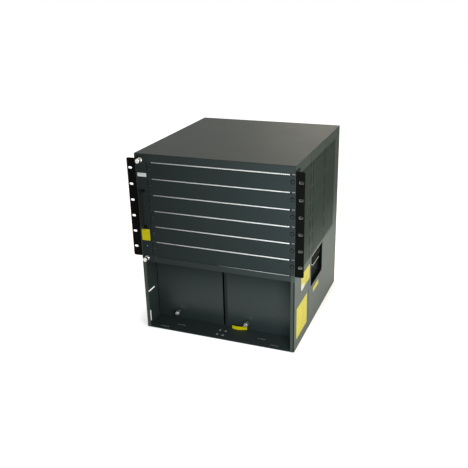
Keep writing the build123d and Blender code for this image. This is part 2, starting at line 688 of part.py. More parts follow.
for number, centre in enumerate(FAN_CENTRES, start=1):
    hub_plane = fan_plane(centre).offset(FAN_BASE + FIT)
    with BuildPart() as fan_rotor:
        with BuildSketch(hub_plane):
            RegularPolygon(FAN_HUB / 2, FAN_FACETS // 2)
        extrude(amount=HUB_LENGTH)
        for place in PolarLocations(0, BLADE_COUNT):
            add(blade.part.moved(hub_plane.location * place))
    save(fan_rotor, f"fan_rotor_{number}")


def thumbscrew(plane):
    """A turned captive screw with a collar, a neck and a slotted knurled head, in the open part."""
    neck_start = FIT + THUMB_COLLAR_LENGTH
    head_start = neck_start + THUMB_NECK_LENGTH
    head_end = head_start + THUMB_HEAD_LENGTH
    steps = (
        (-THUMB_SHANK_REACH, head_start, THUMB_SHANK, SCREW_FACETS),
        (FIT, neck_start, THUMB_COLLAR, KNURL_SIDES),
        (neck_start, head_start, THUMB_NECK, SCREW_FACETS),
        (head_start, head_end, THUMB_HEAD, KNURL_SIDES),
    )
    for start, end, diameter, flats in steps:
        with BuildSketch(plane.offset(start)) as section:
            RegularPolygon(diameter / 2, flats)
        extrude(section.sketch, amount=end - start)
    with BuildSketch(plane.offset(head_end)) as driver_slot:
        Rectangle(THUMB_HEAD, THUMB_SLOT)
    extrude(driver_slot.sketch, amount=-THUMB_SLOT, mode=Mode.SUBTRACT)


for name, z in (("upper", FAN_THUMB_HIGH), ("lower", FAN_THUMB_LOW)):
    with BuildPart() as fan_thumbscrew:
        thumbscrew(front_plane(FACE, TRAY_MID, z))
    save(fan_thumbscrew, f"fan_thumbscrew_{name}")

# Power bay: a divider, two blank plates on low sills and a captive screw in each plate
with BuildPart() as power_bay_divider:
    with BuildSketch(Plane.XY.offset(FLOOR_SHEET)):
        wall = [
            (DIVIDER_LEFT + DIVIDER_STRIP, BAY_Y),
            (DIVIDER_LEFT, BAY_Y),
            (DIVIDER_LEFT, BOARD_FRONT),
        ]
        creased(wall, SHEET, Side.RIGHT)
    extrude(amount=CAGE_Z0 - SHEET - FLOOR_SHEET)
save(power_bay_divider, "power_bay_divider")

for name, (x0, x1, screw_x) in BLANKS.items():
    with BuildPart() as power_bay_blank:
        with BuildSketch(side_plane(x0)):
            blank = [(BAY_Y, BLANK_Z0), (BAY_Y, BLANK_Z1), (BAY_Y + BLANK_LIP, BLANK_Z1)]
            creased(blank, PLATE, Side.RIGHT)
        extrude(amount=x1 - x0)
        with BuildSketch(front_plane(BAY_Y, screw_x, BAY_THUMB_RISE)):
            screw_bore()
        extrude(amount=-PLATE, mode=Mode.SUBTRACT)
    save(power_bay_blank, f"power_bay_blank_{name}")

    with BuildPart() as bay_thumbscrew:
        thumbscrew(front_plane(BAY_Y, screw_x, BAY_THUMB_RISE))
    save(bay_thumbscrew, f"bay_thumbscrew_{name}")

with BuildPart() as bay_sills:
    for x0, x1, screw_x in BLANKS.values():
        with BuildSketch(side_plane(x0 + BLANK_EDGE)):
            sill = [(BAY_BACK, SILL_HEIGHT), (BAY_BACK, FLOOR_SHEET), (BAY_BACK + SILL_DEPTH, FLOOR_SHEET)]
            creased(sill, SHEET, Side.LEFT)
        extrude(amount=x1 - x0 - 2 * BLANK_EDGE)
        with BuildSketch(front_plane(BAY_BACK, screw_x, BAY_THUMB_RISE)):
            screw_bore()
        extrude(amount=-SHEET, mode=Mode.SUBTRACT)
save(bay_sills, "bay_sills")

with BuildPart() as power_connectors:
    socket_width, socket_depth, socket_height = POWER_CONNECTOR
    with BuildSketch(front_plane(REAR_IN)):
        with Locations((DIVIDER_LEFT, POWER_CONNECTOR_RISE)):
            with GridLocations(2 * POWER_CONNECTOR_SPREAD, 0, 2, 1):
                Rectangle(socket_width, socket_height)
    extrude(amount=socket_depth)
save(power_connectors, "power_connectors")

# Fasteners on the bay floor, the ears and the rear panel
with BuildPart() as bay_floor_screws:
    floor_grid = GridLocations(*FLOOR_SCREW_SPACING, 2, 2)
    floor_places = [spot.position + (FLOOR_SCREW_X, FACE + FLOOR_SCREW_DEPTH) for spot in floor_grid]
    screw_heads(Plane.XY.offset(FLOOR_SHEET), floor_places)
save(bay_floor_screws, "bay_floor_screws")

with BuildPart() as rack_ear_screws:
    ear_face = HALF_W + EAR_SHEET
    ear_screws = [(FACE + EAR_SCREW_DEPTH, EAR_MID + i * EAR_SCREW_PITCH) for i in (-1, 0, 1)]
    screw_heads(side_plane(ear_face), ear_screws)
    mirror(about=Plane.YZ)
save(rack_ear_screws, "rack_ear_screws")

with BuildPart() as rear_panel_screws:
    rear_side = Plane(origin=(0, REAR, 0), x_dir=(-1, 0, 0), z_dir=(0, 1, 0))
    rear_x = HALF_W - REAR_FLANGE / 2
    rear_pitch = (LID_UNDER - 2 * REAR_SCREW_MARGIN) / (REAR_SCREW_ROWS - 1)
    rear_zs = [REAR_SCREW_MARGIN + i * rear_pitch for i in range(REAR_SCREW_ROWS)]
    screw_heads(rear_side, [(x, z) for x in (-rear_x, rear_x) for z in rear_zs])
save(rear_panel_screws, "rear_panel_screws")
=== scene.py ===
# %% [markdown]
# # Dressing a modular switch chassis
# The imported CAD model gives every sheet, plate and screw its true place, in metres. This lesson keeps those
# solids as a fixed frame and adds what a camera notices: the grain of the powder coat, pierced vents, bright
# spring strips between the blank plates, turned screws, moulded fans and bare label fields.

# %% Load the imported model
import json
import math
from functools import partial

import bmesh
import bpy
from mathutils import Matrix, Vector


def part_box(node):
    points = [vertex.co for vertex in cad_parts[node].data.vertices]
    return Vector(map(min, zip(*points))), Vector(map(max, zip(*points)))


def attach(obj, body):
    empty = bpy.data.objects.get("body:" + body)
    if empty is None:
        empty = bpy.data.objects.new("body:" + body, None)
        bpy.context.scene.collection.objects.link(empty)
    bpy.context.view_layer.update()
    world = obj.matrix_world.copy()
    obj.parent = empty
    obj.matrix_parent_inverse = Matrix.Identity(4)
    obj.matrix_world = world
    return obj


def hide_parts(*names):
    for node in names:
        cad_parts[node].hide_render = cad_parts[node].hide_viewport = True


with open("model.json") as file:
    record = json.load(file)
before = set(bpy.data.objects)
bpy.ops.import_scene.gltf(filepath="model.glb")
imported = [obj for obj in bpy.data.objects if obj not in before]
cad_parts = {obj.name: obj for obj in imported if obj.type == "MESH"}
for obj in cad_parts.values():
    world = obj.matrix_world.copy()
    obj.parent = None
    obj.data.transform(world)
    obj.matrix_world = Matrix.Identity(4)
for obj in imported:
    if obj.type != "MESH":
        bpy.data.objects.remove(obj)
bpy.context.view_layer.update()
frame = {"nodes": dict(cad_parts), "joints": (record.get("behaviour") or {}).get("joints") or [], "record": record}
scene = bpy.context.scene
scene.view_settings.view_transform = "Standard"

# %% [markdown]
# ## The camera
# The chassis was seen from above and from its right, at a distance of about two metres, so its upright edges
# lean together a little. The place and lens below come from fitting the corners of the shell and the rack
# ears to the picture. The picture is also turned by a degree and a half, which a roll about the view line
# gives.

# %% Camera
CAMERA_PLACE = Vector((0.6349, -1.6753, 0.9407))
CAMERA_TARGET = Vector((-0.0357, 0.0, 0.2203))
CAMERA_ROLL = math.radians(-1.418)
CAMERA_LENS = 50.508
CAMERA_SENSOR = 36.0


def new_object(name, data):
    """A new object in the scene."""
    made = bpy.data.objects.new(name, data)
    scene.collection.objects.link(made)
    return made


forward = (CAMERA_TARGET - CAMERA_PLACE).normalized()
level = forward.cross(Vector((0, 0, 1))).normalized()
upright = level.cross(forward)
camera_x = math.cos(CAMERA_ROLL) * level + math.sin(CAMERA_ROLL) * upright
camera_y = math.cos(CAMERA_ROLL) * upright - math.sin(CAMERA_ROLL) * level
camera_axes = Matrix((camera_x, camera_y, -forward)).transposed()

camera = new_object("camera", bpy.data.cameras.new("camera"))
camera.data.lens = CAMERA_LENS
camera.data.sensor_width = CAMERA_SENSOR
camera.data.sensor_fit = "HORIZONTAL"
camera.matrix_world = Matrix.Translation(CAMERA_PLACE) @ camera_axes.to_4x4()
scene.camera = camera
print("camera at", list(camera.location))

# %% [markdown]
# ## Helpers for nodes
# Materials and Geometry Nodes trees are both made of nodes and links. One small function adds a node, sets
# its options, and fills each input with a plain value or with a link from another node's output. A few more
# name the nodes that come back often.

# %% Node helpers
NOISE_LOW, NOISE_HIGH = 0.3, 0.7
MIX_A, MIX_B, MIX_OUT = 6, 7, 2


def fill(tree, node, inputs):
    """Set the inputs of a node, or link them to other nodes' outputs."""
    for key, value in inputs.items():
        if isinstance(value, bpy.types.NodeSocket):
            tree.links.new(value, node.inputs[key])
        else:
            node.inputs[key].default_value = value


def put(tree, kind, inputs=None, **options):
    """Add a node to a tree, with its options set and its inputs filled."""
    node = tree.nodes.new(kind)
    for key, value in options.items():
        setattr(node, key, value)
    fill(tree, node, inputs or {})
    return node


def add(tree, kind, inputs=None, **options):
    """Add a node to a tree and return its first output."""
    return put(tree, kind, inputs, **options).outputs[0]


def sum_up(tree, operation, first, second=0.0):
    """The output of a Math node."""
    return add(tree, "ShaderNodeMath", {0: first, 1: second}, operation=operation)


def scaled(tree, vector, share):
    """A colour or a vector times a number."""
    return add(tree, "ShaderNodeVectorMath", {0: vector, "Scale": share}, operation="SCALE")


def offset(tree, **parts):
    """A vector from parts that are named X, Y and Z."""
    return add(tree, "ShaderNodeCombineXYZ", parts)


def ramp(tree, value, start=0.0, end=1.0, low=0.0, high=1.0):
    """A value mapped from one range to another and held at its ends."""
    limits = {"Value": value, "From Min": start, "From Max": end, "To Min": low, "To Max": high}
    return put(tree, "ShaderNodeMapRange", limits).outputs["Result"]


def mixed(tree, share, first, second):
    """A colour part of the way from one to another."""
    colours = {0: share, MIX_A: first, MIX_B: second}
    return put(tree, "ShaderNodeMix", colours, data_type="RGBA").outputs[MIX_OUT]


def noise(tree, place, scale, detail=2.0):
    """The grey value of a noise pattern that is fixed to the object, with scale in cells per metre."""
    pattern = put(tree, "ShaderNodeTexNoise", {"Vector": place, "Scale": scale, "Detail": detail})
    return pattern.outputs["Fac"]


def stretch(tree, value, low, high):
    """Map a noise value, which stays near its middle, to a range."""
    return ramp(tree, value, NOISE_LOW, NOISE_HIGH, low, high)


# %% [markdown]
# ## Powder coat
# The shell is steel sheet under a fine, slightly rough powder coat. Up close it has a pebbled grain under
# half a millimetre across. From further away it has faint clouds where the coat is thicker, and its folded
# edges are rubbed a little paler. The Bevel node finds those edges: where its rounded normal leaves the true
# one, the colour is lifted, and the same normal gives each fold a soft highlight. Low down, the side walls
# and the bay's plates are wiped smoother, so the roughness can also rise with height between two limits.

# %% Powder coat material
GRAIN_PER_METRE = 1900.0
GRAIN_TONES = (0.88, 1.12)
GRAIN_BUMP = 0.08
BUMP_HEIGHT = 0.0002
CLOUDS_PER_METRE = 14.0
CLOUD_TONES = (0.97, 1.03)
CLOUD_GLOSS = 0.015
EDGE_RADIUS = 0.0009
EDGE_FOUND, EDGE_SHARP = 0.97, 0.8
MOST_RUBBED = 0.55
SIDE_DULLS = (0.200, 0.330)
BAY_DULLS = (0.060, 0.165)


def shader_of(material):
    """The shader of a material."""
    return material.node_tree.nodes["Principled BSDF"]


def new_finish(name):
    """A material with its tree, its shader and coordinates that are fixed to the object."""
    material = bpy.data.materials.new(name)
    material.use_nodes = True
    place = put(material.node_tree, "ShaderNodeTexCoord").outputs["Object"]
    return material, material.node_tree, shader_of(material), place


def place_along(tree, axis):
    """The place along one axis, in metres."""
    place = put(tree, "ShaderNodeTexCoord").outputs["Object"]
    return put(tree, "ShaderNodeSeparateXYZ", {0: place}).outputs[axis]


def bumped(tree, strength, height, **more):
    """A normal that follows a fine relief."""
    relief = {"Strength": strength, "Distance": BUMP_HEIGHT, "Height": height}
    return add(tree, "ShaderNodeBump", relief | more)


def powder_coat(name, colour, rubbed, roughness, sheen, dulling=0.0, dulls=SIDE_DULLS):
    """Painted sheet with a pebbled grain, faint clouds, rubbed edges and a coat that dulls with height."""
    material, tree, shader, place = new_finish(name)
    pebble = noise(tree, place, GRAIN_PER_METRE)
    cloud = noise(tree, place, CLOUDS_PER_METRE, detail=4.0)
    edge = add(tree, "ShaderNodeBevel", {"Radius": EDGE_RADIUS}, samples=4)
    true_normal = put(tree, "ShaderNodeNewGeometry").outputs["Normal"]
    agree = put(tree, "ShaderNodeVectorMath", {0: edge, 1: true_normal}, operation="DOT_PRODUCT")
    rub = ramp(tree, agree.outputs["Value"], EDGE_FOUND, EDGE_SHARP, high=MOST_RUBBED)
    tone = sum_up(tree, "MULTIPLY", stretch(tree, cloud, *CLOUD_TONES), stretch(tree, pebble, *GRAIN_TONES))
    uneven = stretch(tree, cloud, roughness - CLOUD_GLOSS, roughness + CLOUD_GLOSS)
    dull = ramp(tree, place_along(tree, "Z"), *dulls, high=dulling)
    fill(tree, shader, {
        "Base Color": mixed(tree, rub, scaled(tree, colour, tone), (*rubbed, 1)),
        "Roughness": sum_up(tree, "ADD", uneven, dull),
        "Normal": bumped(tree, GRAIN_BUMP, pebble, Normal=edge),
        "Specular IOR Level": sheen,
    })
    return material


# %% Painted finishes
CHARCOAL = (0.0215, 0.0280, 0.0275)
CHARCOAL_RUBBED = (0.050, 0.058, 0.057)
BAY_GREY = (0.0215, 0.0300, 0.0295)
# A paler grey for the rail's front: painted light.
RAIL_LIT_GREY = (0.0300, 0.0375, 0.0365)
EAR_BLACK, EAR_RUBBED = (0.0018, 0.0022, 0.0018), (0.012, 0.012, 0.012)
SCREW_BLACK, SCREW_RUBBED = (0.008, 0.009, 0.009), (0.03, 0.03, 0.03)
SIDE_TINT = (0.72, 1.0, 0.72, 1.0)

charcoal_coat = partial(powder_coat, colour=CHARCOAL, rubbed=CHARCOAL_RUBBED)
charcoal_paint = charcoal_coat("charcoal_paint", roughness=0.5, sheen=0.5, dulling=0.34)
vent_paint = charcoal_coat("vent_paint", roughness=0.5, sheen=0.5, dulling=0.43)
for paint in (charcoal_paint, vent_paint):
    shader_of(paint).inputs["Specular Tint"].default_value = SIDE_TINT
lid_paint = charcoal_coat("lid_paint", roughness=0.55, sheen=0.12)
plate_paint = charcoal_coat("plate_paint", roughness=0.6, sheen=0.05)
bay_gloss = {"roughness": 0.34, "sheen": 0.33, "dulling": 0.6, "dulls": BAY_DULLS}
bay_paint = powder_coat("bay_paint", BAY_GREY, CHARCOAL_RUBBED, **bay_gloss)
rail_lit_paint = powder_coat("rail_lit_paint", RAIL_LIT_GREY, CHARCOAL_RUBBED, roughness=0.6, sheen=0.05)
black_paint = powder_coat("black_paint", EAR_BLACK, EAR_RUBBED, roughness=0.5, sheen=0.03)
dark_screw = powder_coat("dark_screw", SCREW_BLACK, SCREW_RUBBED, roughness=0.42, sheen=0.15)
print("painted finishes", charcoal_paint.name, lid_paint.name, plate_paint.name, black_paint.name)

# %% [markdown]
# ## Plated metal and moulded plastic
# The thumbscrews are zinc plated, the spring strips are tinned, and the inner sheets are plain galvanised steel
# with a faint spangle. The handle, pockets and fans are moulded in black plastic with a fine spark-eroded texture.
# Each is one function with its own scale of pattern, because plating and moulding differ in grain. One more
# function paints shade on a metal by darkening it along x: the spring strips grow darker towards the fan tray, and
# the bright strip on the rail grows darker along its left part.

# %% Metal and plastic materials
GLOSS_SPREAD = 0.06
HAZE_SHARE = 0.4
PLASTIC_TONES = (0.88, 1.12)
PLASTIC_BUMP = 0.12
LENS_COAT = 0.6


def plated_metal(name, colour, roughness, spangle, variation=0.08):
    """Bare plated metal with a fine brushed or spangled variation, and its spangle in cells per metre."""
    material, tree, shader, place = new_finish(name)
    cells = put(tree, "ShaderNodeTexVoronoi", {"Vector": place, "Scale": spangle}).outputs["Distance"]
    haze = noise(tree, place, spangle * HAZE_SHARE, detail=3.0)
    tone = sum_up(tree, "ADD", sum_up(tree, "MULTIPLY", cells, variation), 1.0 - variation)
    fill(tree, shader, {
        "Base Color": scaled(tree, colour, tone),
        "Roughness": stretch(tree, haze, roughness - GLOSS_SPREAD, roughness + GLOSS_SPREAD),
        "Metallic": 1.0,
    })
    return material


def moulded_plastic(name, colour, roughness, sheen=0.35, grain_per_metre=1400.0):
    """Moulded plastic with a fine eroded texture."""
    material, tree, shader, place = new_finish(name)
    grit = noise(tree, place, grain_per_metre)
    cloud = noise(tree, place, CLOUDS_PER_METRE, detail=3.0)
    fill(tree, shader, {
        "Base Color": scaled(tree, colour, stretch(tree, cloud, *PLASTIC_TONES)),
        "Roughness": stretch(tree, grit, roughness - GLOSS_SPREAD, roughness + GLOSS_SPREAD),
        "Normal": bumped(tree, PLASTIC_BUMP, grit),
        "Specular IOR Level": sheen,
    })
    return material


def paint_shade_along_x(material, start, end, most_shaded):
    """Paint shade on a metal along x: its full colour at the end, darkened to a share of it at the start."""
    tree, shader = material.node_tree, shader_of(material)
    unshaded = shader.inputs["Base Color"].links[0].from_socket
    share = ramp(tree, place_along(tree, "X"), start, end, low=most_shaded)
    fill(tree, shader, {"Base Color": scaled(tree, unshaded, share)})


bright_zinc = plated_metal("bright_zinc", (0.72, 0.71, 0.69), roughness=0.28, spangle=900.0)
spring_finger = plated_metal("spring_finger", (0.68, 0.69, 0.67), roughness=0.36, spangle=700.0)
# The strips are darker towards the fan tray: painted shade.
paint_shade_along_x(spring_finger, start=-0.17, end=0.17, most_shaded=0.30)
galvanised = {"roughness": 0.42, "spangle": 220.0, "variation": 0.2}
rail_highlight_steel = plated_metal("rail_highlight_steel", (0.55, 0.56, 0.56), **galvanised)
# The rail's bright strip darkens along its left part: painted shade.
paint_shade_along_x(rail_highlight_steel, start=0.0, end=0.15, most_shaded=0.10)
plain_steel = plated_metal("plain_steel", (0.50, 0.51, 0.51), **galvanised)
dull_steel = plated_metal("dull_steel", (0.20, 0.21, 0.21), roughness=0.5, spangle=500.0, variation=0.15)
black_plastic = moulded_plastic("black_plastic", (0.0045, 0.005, 0.0048), roughness=0.5, sheen=0.1)
guide_plastic = moulded_plastic("guide_plastic", (0.12, 0.12, 0.12), roughness=0.5)
board_mask = moulded_plastic("board_mask", (0.02, 0.10, 0.04), roughness=0.35, grain_per_metre=600.0)
clear_lens = moulded_plastic("clear_lens", (0.34, 0.37, 0.33), roughness=0.18, grain_per_metre=300.0)
shader_of(clear_lens).inputs["Coat Weight"].default_value = LENS_COAT
print("metals and plastics", bright_zinc.name, spring_finger.name, plain_steel.name, black_plastic.name)

# %% [markdown]
# ## Finishes for the CAD pieces
# The record names a material slot for each solid, so one table from slot to finish dresses the whole frame.
# Most sheets, plates and ears are already the right shape and only need this. The lid, the base and the plates at
# the front have a flatter coat than the side walls, and the bay's plates are smoother low down. The rail above the
# bay is painted a shade paler than the charcoal, which is painted light for the light its front catches. A second
# table gives these a coat of their own.

# %% Dress the CAD pieces
SLOTS = range(1, 7)
FINISHES = {
    "charcoal_paint": charcoal_paint,
    "black_paint": black_paint,
    "dark_screw": dark_screw,
    "spring_finger": spring_finger,
    "bright_zinc": bright_zinc,
    "plain_steel": plain_steel,
    "black_plastic": black_plastic,
    "guide_plastic": guide_plastic,
    "board": board_mask,
    "lens": clear_lens,
}
OWN_COATS = {
    "top_cover": lid_paint,
    "base_pan": lid_paint,
    "fan_tray_faceplate": plate_paint,
    "cage_floor": rail_lit_paint,
    "power_bay_divider": plate_paint,
    "power_bay_blank_left": bay_paint,
    "power_bay_blank_right": bay_paint,
}
OWN_COATS.update({f"slot_filler_{number}": plate_paint for number in SLOTS})


def dress(mesh, finish):
    """Give a mesh one finish."""
    mesh.materials.clear()
    mesh.materials.append(finish)


for subpart in frame["record"]["subparts"]:
    name = subpart["node"]
    slot_finish = FINISHES[subpart["material_slot"]]
    dress(frame["nodes"][name].data, OWN_COATS.get(name, slot_finish))

# %% [markdown]
# ## Running a Geometry Nodes tree
# Holes, fingers, screws and blades repeat by a rule, so trees make them. Each tree has named inputs for its
# sizes and ends in Realize Instances and Set Material. It runs once, and its result is kept as a plain mesh
# with its place in the mesh, because the exported model can't hold a live tree.

# %% Tree helpers
WELD = 1e-6


def start_tree(name, numbers, counts=(), vectors=()):
    """A Geometry Nodes tree with a named input for each size, and one for the finish."""
    tree = bpy.data.node_groups.new(name, "GeometryNodeTree")
    kinds = {
        "Geometry": ["Points"],
        "Float": numbers,
        "Int": counts,
        "Vector": vectors,
        "Material": ["Finish"],
    }
    for kind, labels in kinds.items():
        for label in labels:
            tree.interface.new_socket(label, in_out="INPUT", socket_type=f"NodeSocket{kind}")
    tree.interface.new_socket("Geometry", in_out="OUTPUT", socket_type="NodeSocketGeometry")
    return tree, tree.nodes.new("NodeGroupInput").outputs


def end_tree(tree, sizes, geometry):
    """Realize the instances, set the finish and send the result out."""
    real = add(tree, "GeometryNodeRealizeInstances", {"Geometry": geometry})
    dressed = add(tree, "GeometryNodeSetMaterial", {"Geometry": real, "Material": sizes["Finish"]})
    put(tree, "NodeGroupOutput", {"Geometry": dressed})
    print("tree", tree.name, len(tree.nodes), "nodes")


def joined(tree, *parts):
    """Several geometries as one."""
    join = put(tree, "GeometryNodeJoinGeometry")
    for part in parts:
        tree.links.new(part, join.inputs[0])
    return join.outputs[0]


def welded(tree, *parts):
    """Several geometries as one, with the points merged where they meet."""
    return add(tree, "GeometryNodeMergeByDistance", {"Geometry": joined(tree, *parts), "Distance": WELD})


def moved(tree, shape, place=(0, 0, 0), turn=(0, 0, 0)):
    """A geometry turned about the origin and then moved."""
    return add(tree, "GeometryNodeTransform", {"Geometry": shape, "Translation": place, "Rotation": turn})


def copies(tree, points, shape, **more):
    """A copy of a geometry on each point."""
    return add(tree, "GeometryNodeInstanceOnPoints", {"Points": points, "Instance": shape} | more)


def filled(tree, *curves):
    """A flat sheet between closed curves."""
    return add(tree, "GeometryNodeFillCurve", {0: joined(tree, *curves)}, mode="TRIANGLES")


def thicken(tree, sheet, pull):
    """A flat sheet pulled along an offset into a closed solid."""
    pulled = add(tree, "GeometryNodeExtrudeMesh", {"Mesh": sheet, "Offset": pull, "Individual": False})
    return welded(tree, pulled, add(tree, "GeometryNodeFlipFaces", {"Mesh": sheet}))


def crowned_disc(tree, sides, radius, height, crown_share, crown_scale):
    """A closed disc with an upright wall and a crown that narrows to its flat top."""
    disc = add(tree, "GeometryNodeMeshCircle", {"Vertices": sides, "Radius": radius}, fill_type="NGON")
    crown_height = sum_up(tree, "MULTIPLY", height, crown_share)
    wall_up = offset(tree, Z=sum_up(tree, "SUBTRACT", height, crown_height))
    wall = put(tree, "GeometryNodeExtrudeMesh", {"Mesh": disc, "Offset": wall_up, "Individual": False})
    crown = put(tree, "GeometryNodeExtrudeMesh", {
        "Mesh": wall.outputs["Mesh"],
        "Selection": wall.outputs["Top"],
        "Offset": offset(tree, Z=crown_height),
        "Individual": False,
    })
    narrowed = add(tree, "GeometryNodeScaleElements", {
        "Geometry": crown.outputs["Mesh"],
        "Selection": crown.outputs["Top"],
        "Scale": crown_scale,
    })
    return welded(tree, narrowed, add(tree, "GeometryNodeFlipFaces", {"Mesh": disc}))


# %% Mesh and piece helpers
def outward(shape, mesh):
    """Write a bmesh to a mesh, with its faces turned outwards."""
    bmesh.ops.recalc_face_normals(shape, faces=shape.faces)
    shape.to_mesh(mesh)
    shape.free()
    return mesh


def skin(rings, finish):
    """A closed mesh through rings of points, with both ends filled."""
    shape = bmesh.new()
    loops = [[shape.verts.new(point) for point in ring] for ring in rings]
    count = len(loops[0])
    for first, second in zip(loops, loops[1:]):
        for i in range(count):
            j = (i + 1) % count
            shape.faces.new((first[i], first[j], second[j], second[i]))
    shape.faces.new(list(reversed(loops[0])))
    shape.faces.new(loops[-1])
    mesh = outward(shape, bpy.data.meshes.new("skin"))
    dress(mesh, finish)
    return mesh


def settled(maker):
    """The mesh of an object after its modifiers, once the object is taken away."""
    graph = bpy.context.evaluated_depsgraph_get()
    mesh = bpy.data.meshes.new_from_object(maker.evaluated_get(graph))
    bpy.data.objects.remove(maker)
    return mesh


def grow(tree, sizes, points=((0, 0, 0),)):
    """Run a tree once on some points and return its result as a plain mesh."""
    seed = bpy.data.meshes.new("seed")
    seed.from_pydata([tuple(p) for p in points], [], [])
    maker = new_object("maker", seed)
    modifier = maker.modifiers.new("tree", "NODES")
    modifier.node_group = tree
    for item in tree.interface.items_tree:
        if item.in_out == "INPUT" and item.name in sizes:
            modifier[item.identifier] = sizes[item.name]
    mesh = settled(maker)
    shape = bmesh.new()
    shape.from_mesh(mesh)
    return outward(shape, mesh)


def piece(name, meshes, body, replaced=()):
    """One object from some meshes, riding on a body and standing for the CAD nodes that it replaces."""
    shape = bmesh.new()
    for mesh in meshes:
        shape.from_mesh(mesh)
    for face in shape.faces:
        face.material_index = 0
    whole = bpy.data.meshes.new(name)
    shape.to_mesh(whole)
    shape.free()
    whole.materials.append(next(finish for finish in meshes[0].materials if finish))
    made = new_object(name, whole)
    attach(made, body)
    if replaced:
        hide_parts(*replaced)
    print(name, "triangles", sum(len(p.vertices) - 2 for p in whole.polygons))
    return made


# %% [markdown]
# ## Pierced vents
# Both sides breathe through thousands of small punched holes in staggered rows. The CAD panels have a few
# long slots in their place. A tree lays out the rows, fills the sheet between the holes with Fill Curve, and
# gives it its thickness. The sheets are split by narrow upright seams, as on the real side.

# %% Perforated sheet tree
HOLE_SIDES = 6

plate_tree, plate = start_tree(
    "perforated_sheet",
    numbers=("Width", "Height", "Thickness", "Pitch", "Row Pitch", "Hole Diameter"),
    counts=("Columns", "Rows"),
    vectors=("Place", "Turn"),
)
reckon = partial(sum_up, plate_tree)
columns_less = reckon("SUBTRACT", plate["Columns"], 1.0)
rows_less = reckon("SUBTRACT", plate["Rows"], 1.0)
hole_grid = add(plate_tree, "GeometryNodeMeshGrid", {
    "Size X": reckon("MULTIPLY", columns_less, plate["Pitch"]),
    "Size Y": reckon("MULTIPLY", rows_less, plate["Row Pitch"]),
    "Vertices X": plate["Columns"],
    "Vertices Y": plate["Rows"],
})
hole_place = add(plate_tree, "GeometryNodeInputPosition")
hole_height = put(plate_tree, "ShaderNodeSeparateXYZ", {0: hole_place}).outputs["Y"]
row = reckon("DIVIDE", hole_height, plate["Row Pitch"])
row = reckon("ADD", row, reckon("DIVIDE", rows_less, 2.0))
odd = reckon("MODULO", reckon("ROUND", row), 2.0)
half_step = reckon("MULTIPLY", reckon("SUBTRACT", odd, 0.5), plate["Pitch"])
stagger = offset(plate_tree, X=reckon("MULTIPLY", half_step, 0.5))
hole_places = add(plate_tree, "GeometryNodeSetPosition", {"Geometry": hole_grid, "Offset": stagger})
hole_radius = reckon("DIVIDE", plate["Hole Diameter"], 2.0)
hole = add(plate_tree, "GeometryNodeCurvePrimitiveCircle", {"Resolution": HOLE_SIDES, "Radius": hole_radius})
punched = copies(plate_tree, hole_places, hole)
holes = add(plate_tree, "GeometryNodeRealizeInstances", {"Geometry": punched})
sheet_sides = {"Width": plate["Width"], "Height": plate["Height"]}
sheet_edge = add(plate_tree, "GeometryNodeCurvePrimitiveQuadrilateral", sheet_sides)
pierced = filled(plate_tree, holes, sheet_edge)
pierced_solid = thicken(plate_tree, pierced, offset(plate_tree, Z=plate["Thickness"]))
end_tree(plate_tree, plate, moved(plate_tree, pierced_solid, plate["Place"], plate["Turn"]))

# %% Vent panels
VENT_SHEET = 0.0008
VENT_LAP = 0.002
SEAM_GAP = 0.0065
HEM_GAP = 0.0022
HOLE_PITCH = 0.0048
HOLE_ROW_PITCH = HOLE_PITCH * math.sin(math.radians(60))
HOLE_DIAMETER = 0.0041
HOLE_MARGIN = 0.0007
VENT_SEAMS = (-0.092, -0.06825, 0.05825)


def holes_along(length, pitch, stagger):
    """How many holes fit along a length, and the pitch that spreads them to its margins."""
    room = length - 2 * HOLE_MARGIN - HOLE_DIAMETER
    count = int(room / pitch - stagger) + 1
    return count, room / (count - 1 + stagger)


def vent_panel(side, name):
    """The pierced sheets of one side wall, flush with its outer face."""
    low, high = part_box(name)
    front, back = low.y + VENT_LAP, high.y - VENT_LAP
    bottom, top = low.z + VENT_LAP, high.z - VENT_LAP - HEM_GAP
    inner_x = (high.x if side > 0 else low.x) - side * VENT_SHEET
    rows, row_pitch = holes_along(top - bottom, HOLE_ROW_PITCH, 0)
    edges = [front, *VENT_SEAMS, back]
    sheets = []
    for start, end in zip(edges, edges[1:]):
        start += SEAM_GAP if start != front else 0
        columns, pitch = holes_along(end - start, HOLE_PITCH, 0.5)
        sheets.append(grow(plate_tree, {
            "Width": end - start,
            "Height": top - bottom,
            "Thickness": VENT_SHEET,
            "Pitch": pitch,
            "Row Pitch": row_pitch,
            "Hole Diameter": HOLE_DIAMETER,
            "Columns": columns,
            "Rows": rows,
            "Place": (inner_x, (start + end) / 2, (bottom + top) / 2),
            "Turn": (math.pi / 2, 0, side * math.pi / 2),
            "Finish": vent_paint,
        }))
    return piece(name + "_pierced", sheets, "chassis", [name])


vent_panel(-1, "left_vent_panel")
vent_panel(1, "right_vent_panel")

# %% [markdown]
# ## Spring strips
# A bright strip of spring fingers lies on the upper lip of each blank plate and shields the gap to the next
# one. Each finger is a thin arched leaf with a steep front, which is what shines between the plates. One leaf
# is made from a Bezier curve in the tree and repeated along the strip, and the strip is repeated on six
# points.

# %% Spring strip tree
LEAF_STEPS = 8
FRONT_PULL = {"Depth": -0.10, "Rise": 1.25}
BACK_PULL = {"Depth": 0.55, "Rise": 1.35}

strip_tree, strip = start_tree(
    "spring_strip",
    numbers=("Finger Pitch", "Finger Width", "Depth", "Rise", "Leaf Thickness"),
    counts=("Finger Count",),
)


def leaf_handle(shares):
    """A handle of the leaf's curve, at shares of the strip's depth and rise."""
    depth = sum_up(strip_tree, "MULTIPLY", strip["Depth"], shares["Depth"])
    rise = sum_up(strip_tree, "MULTIPLY", strip["Rise"], shares["Rise"])
    return offset(strip_tree, Y=depth, Z=rise)


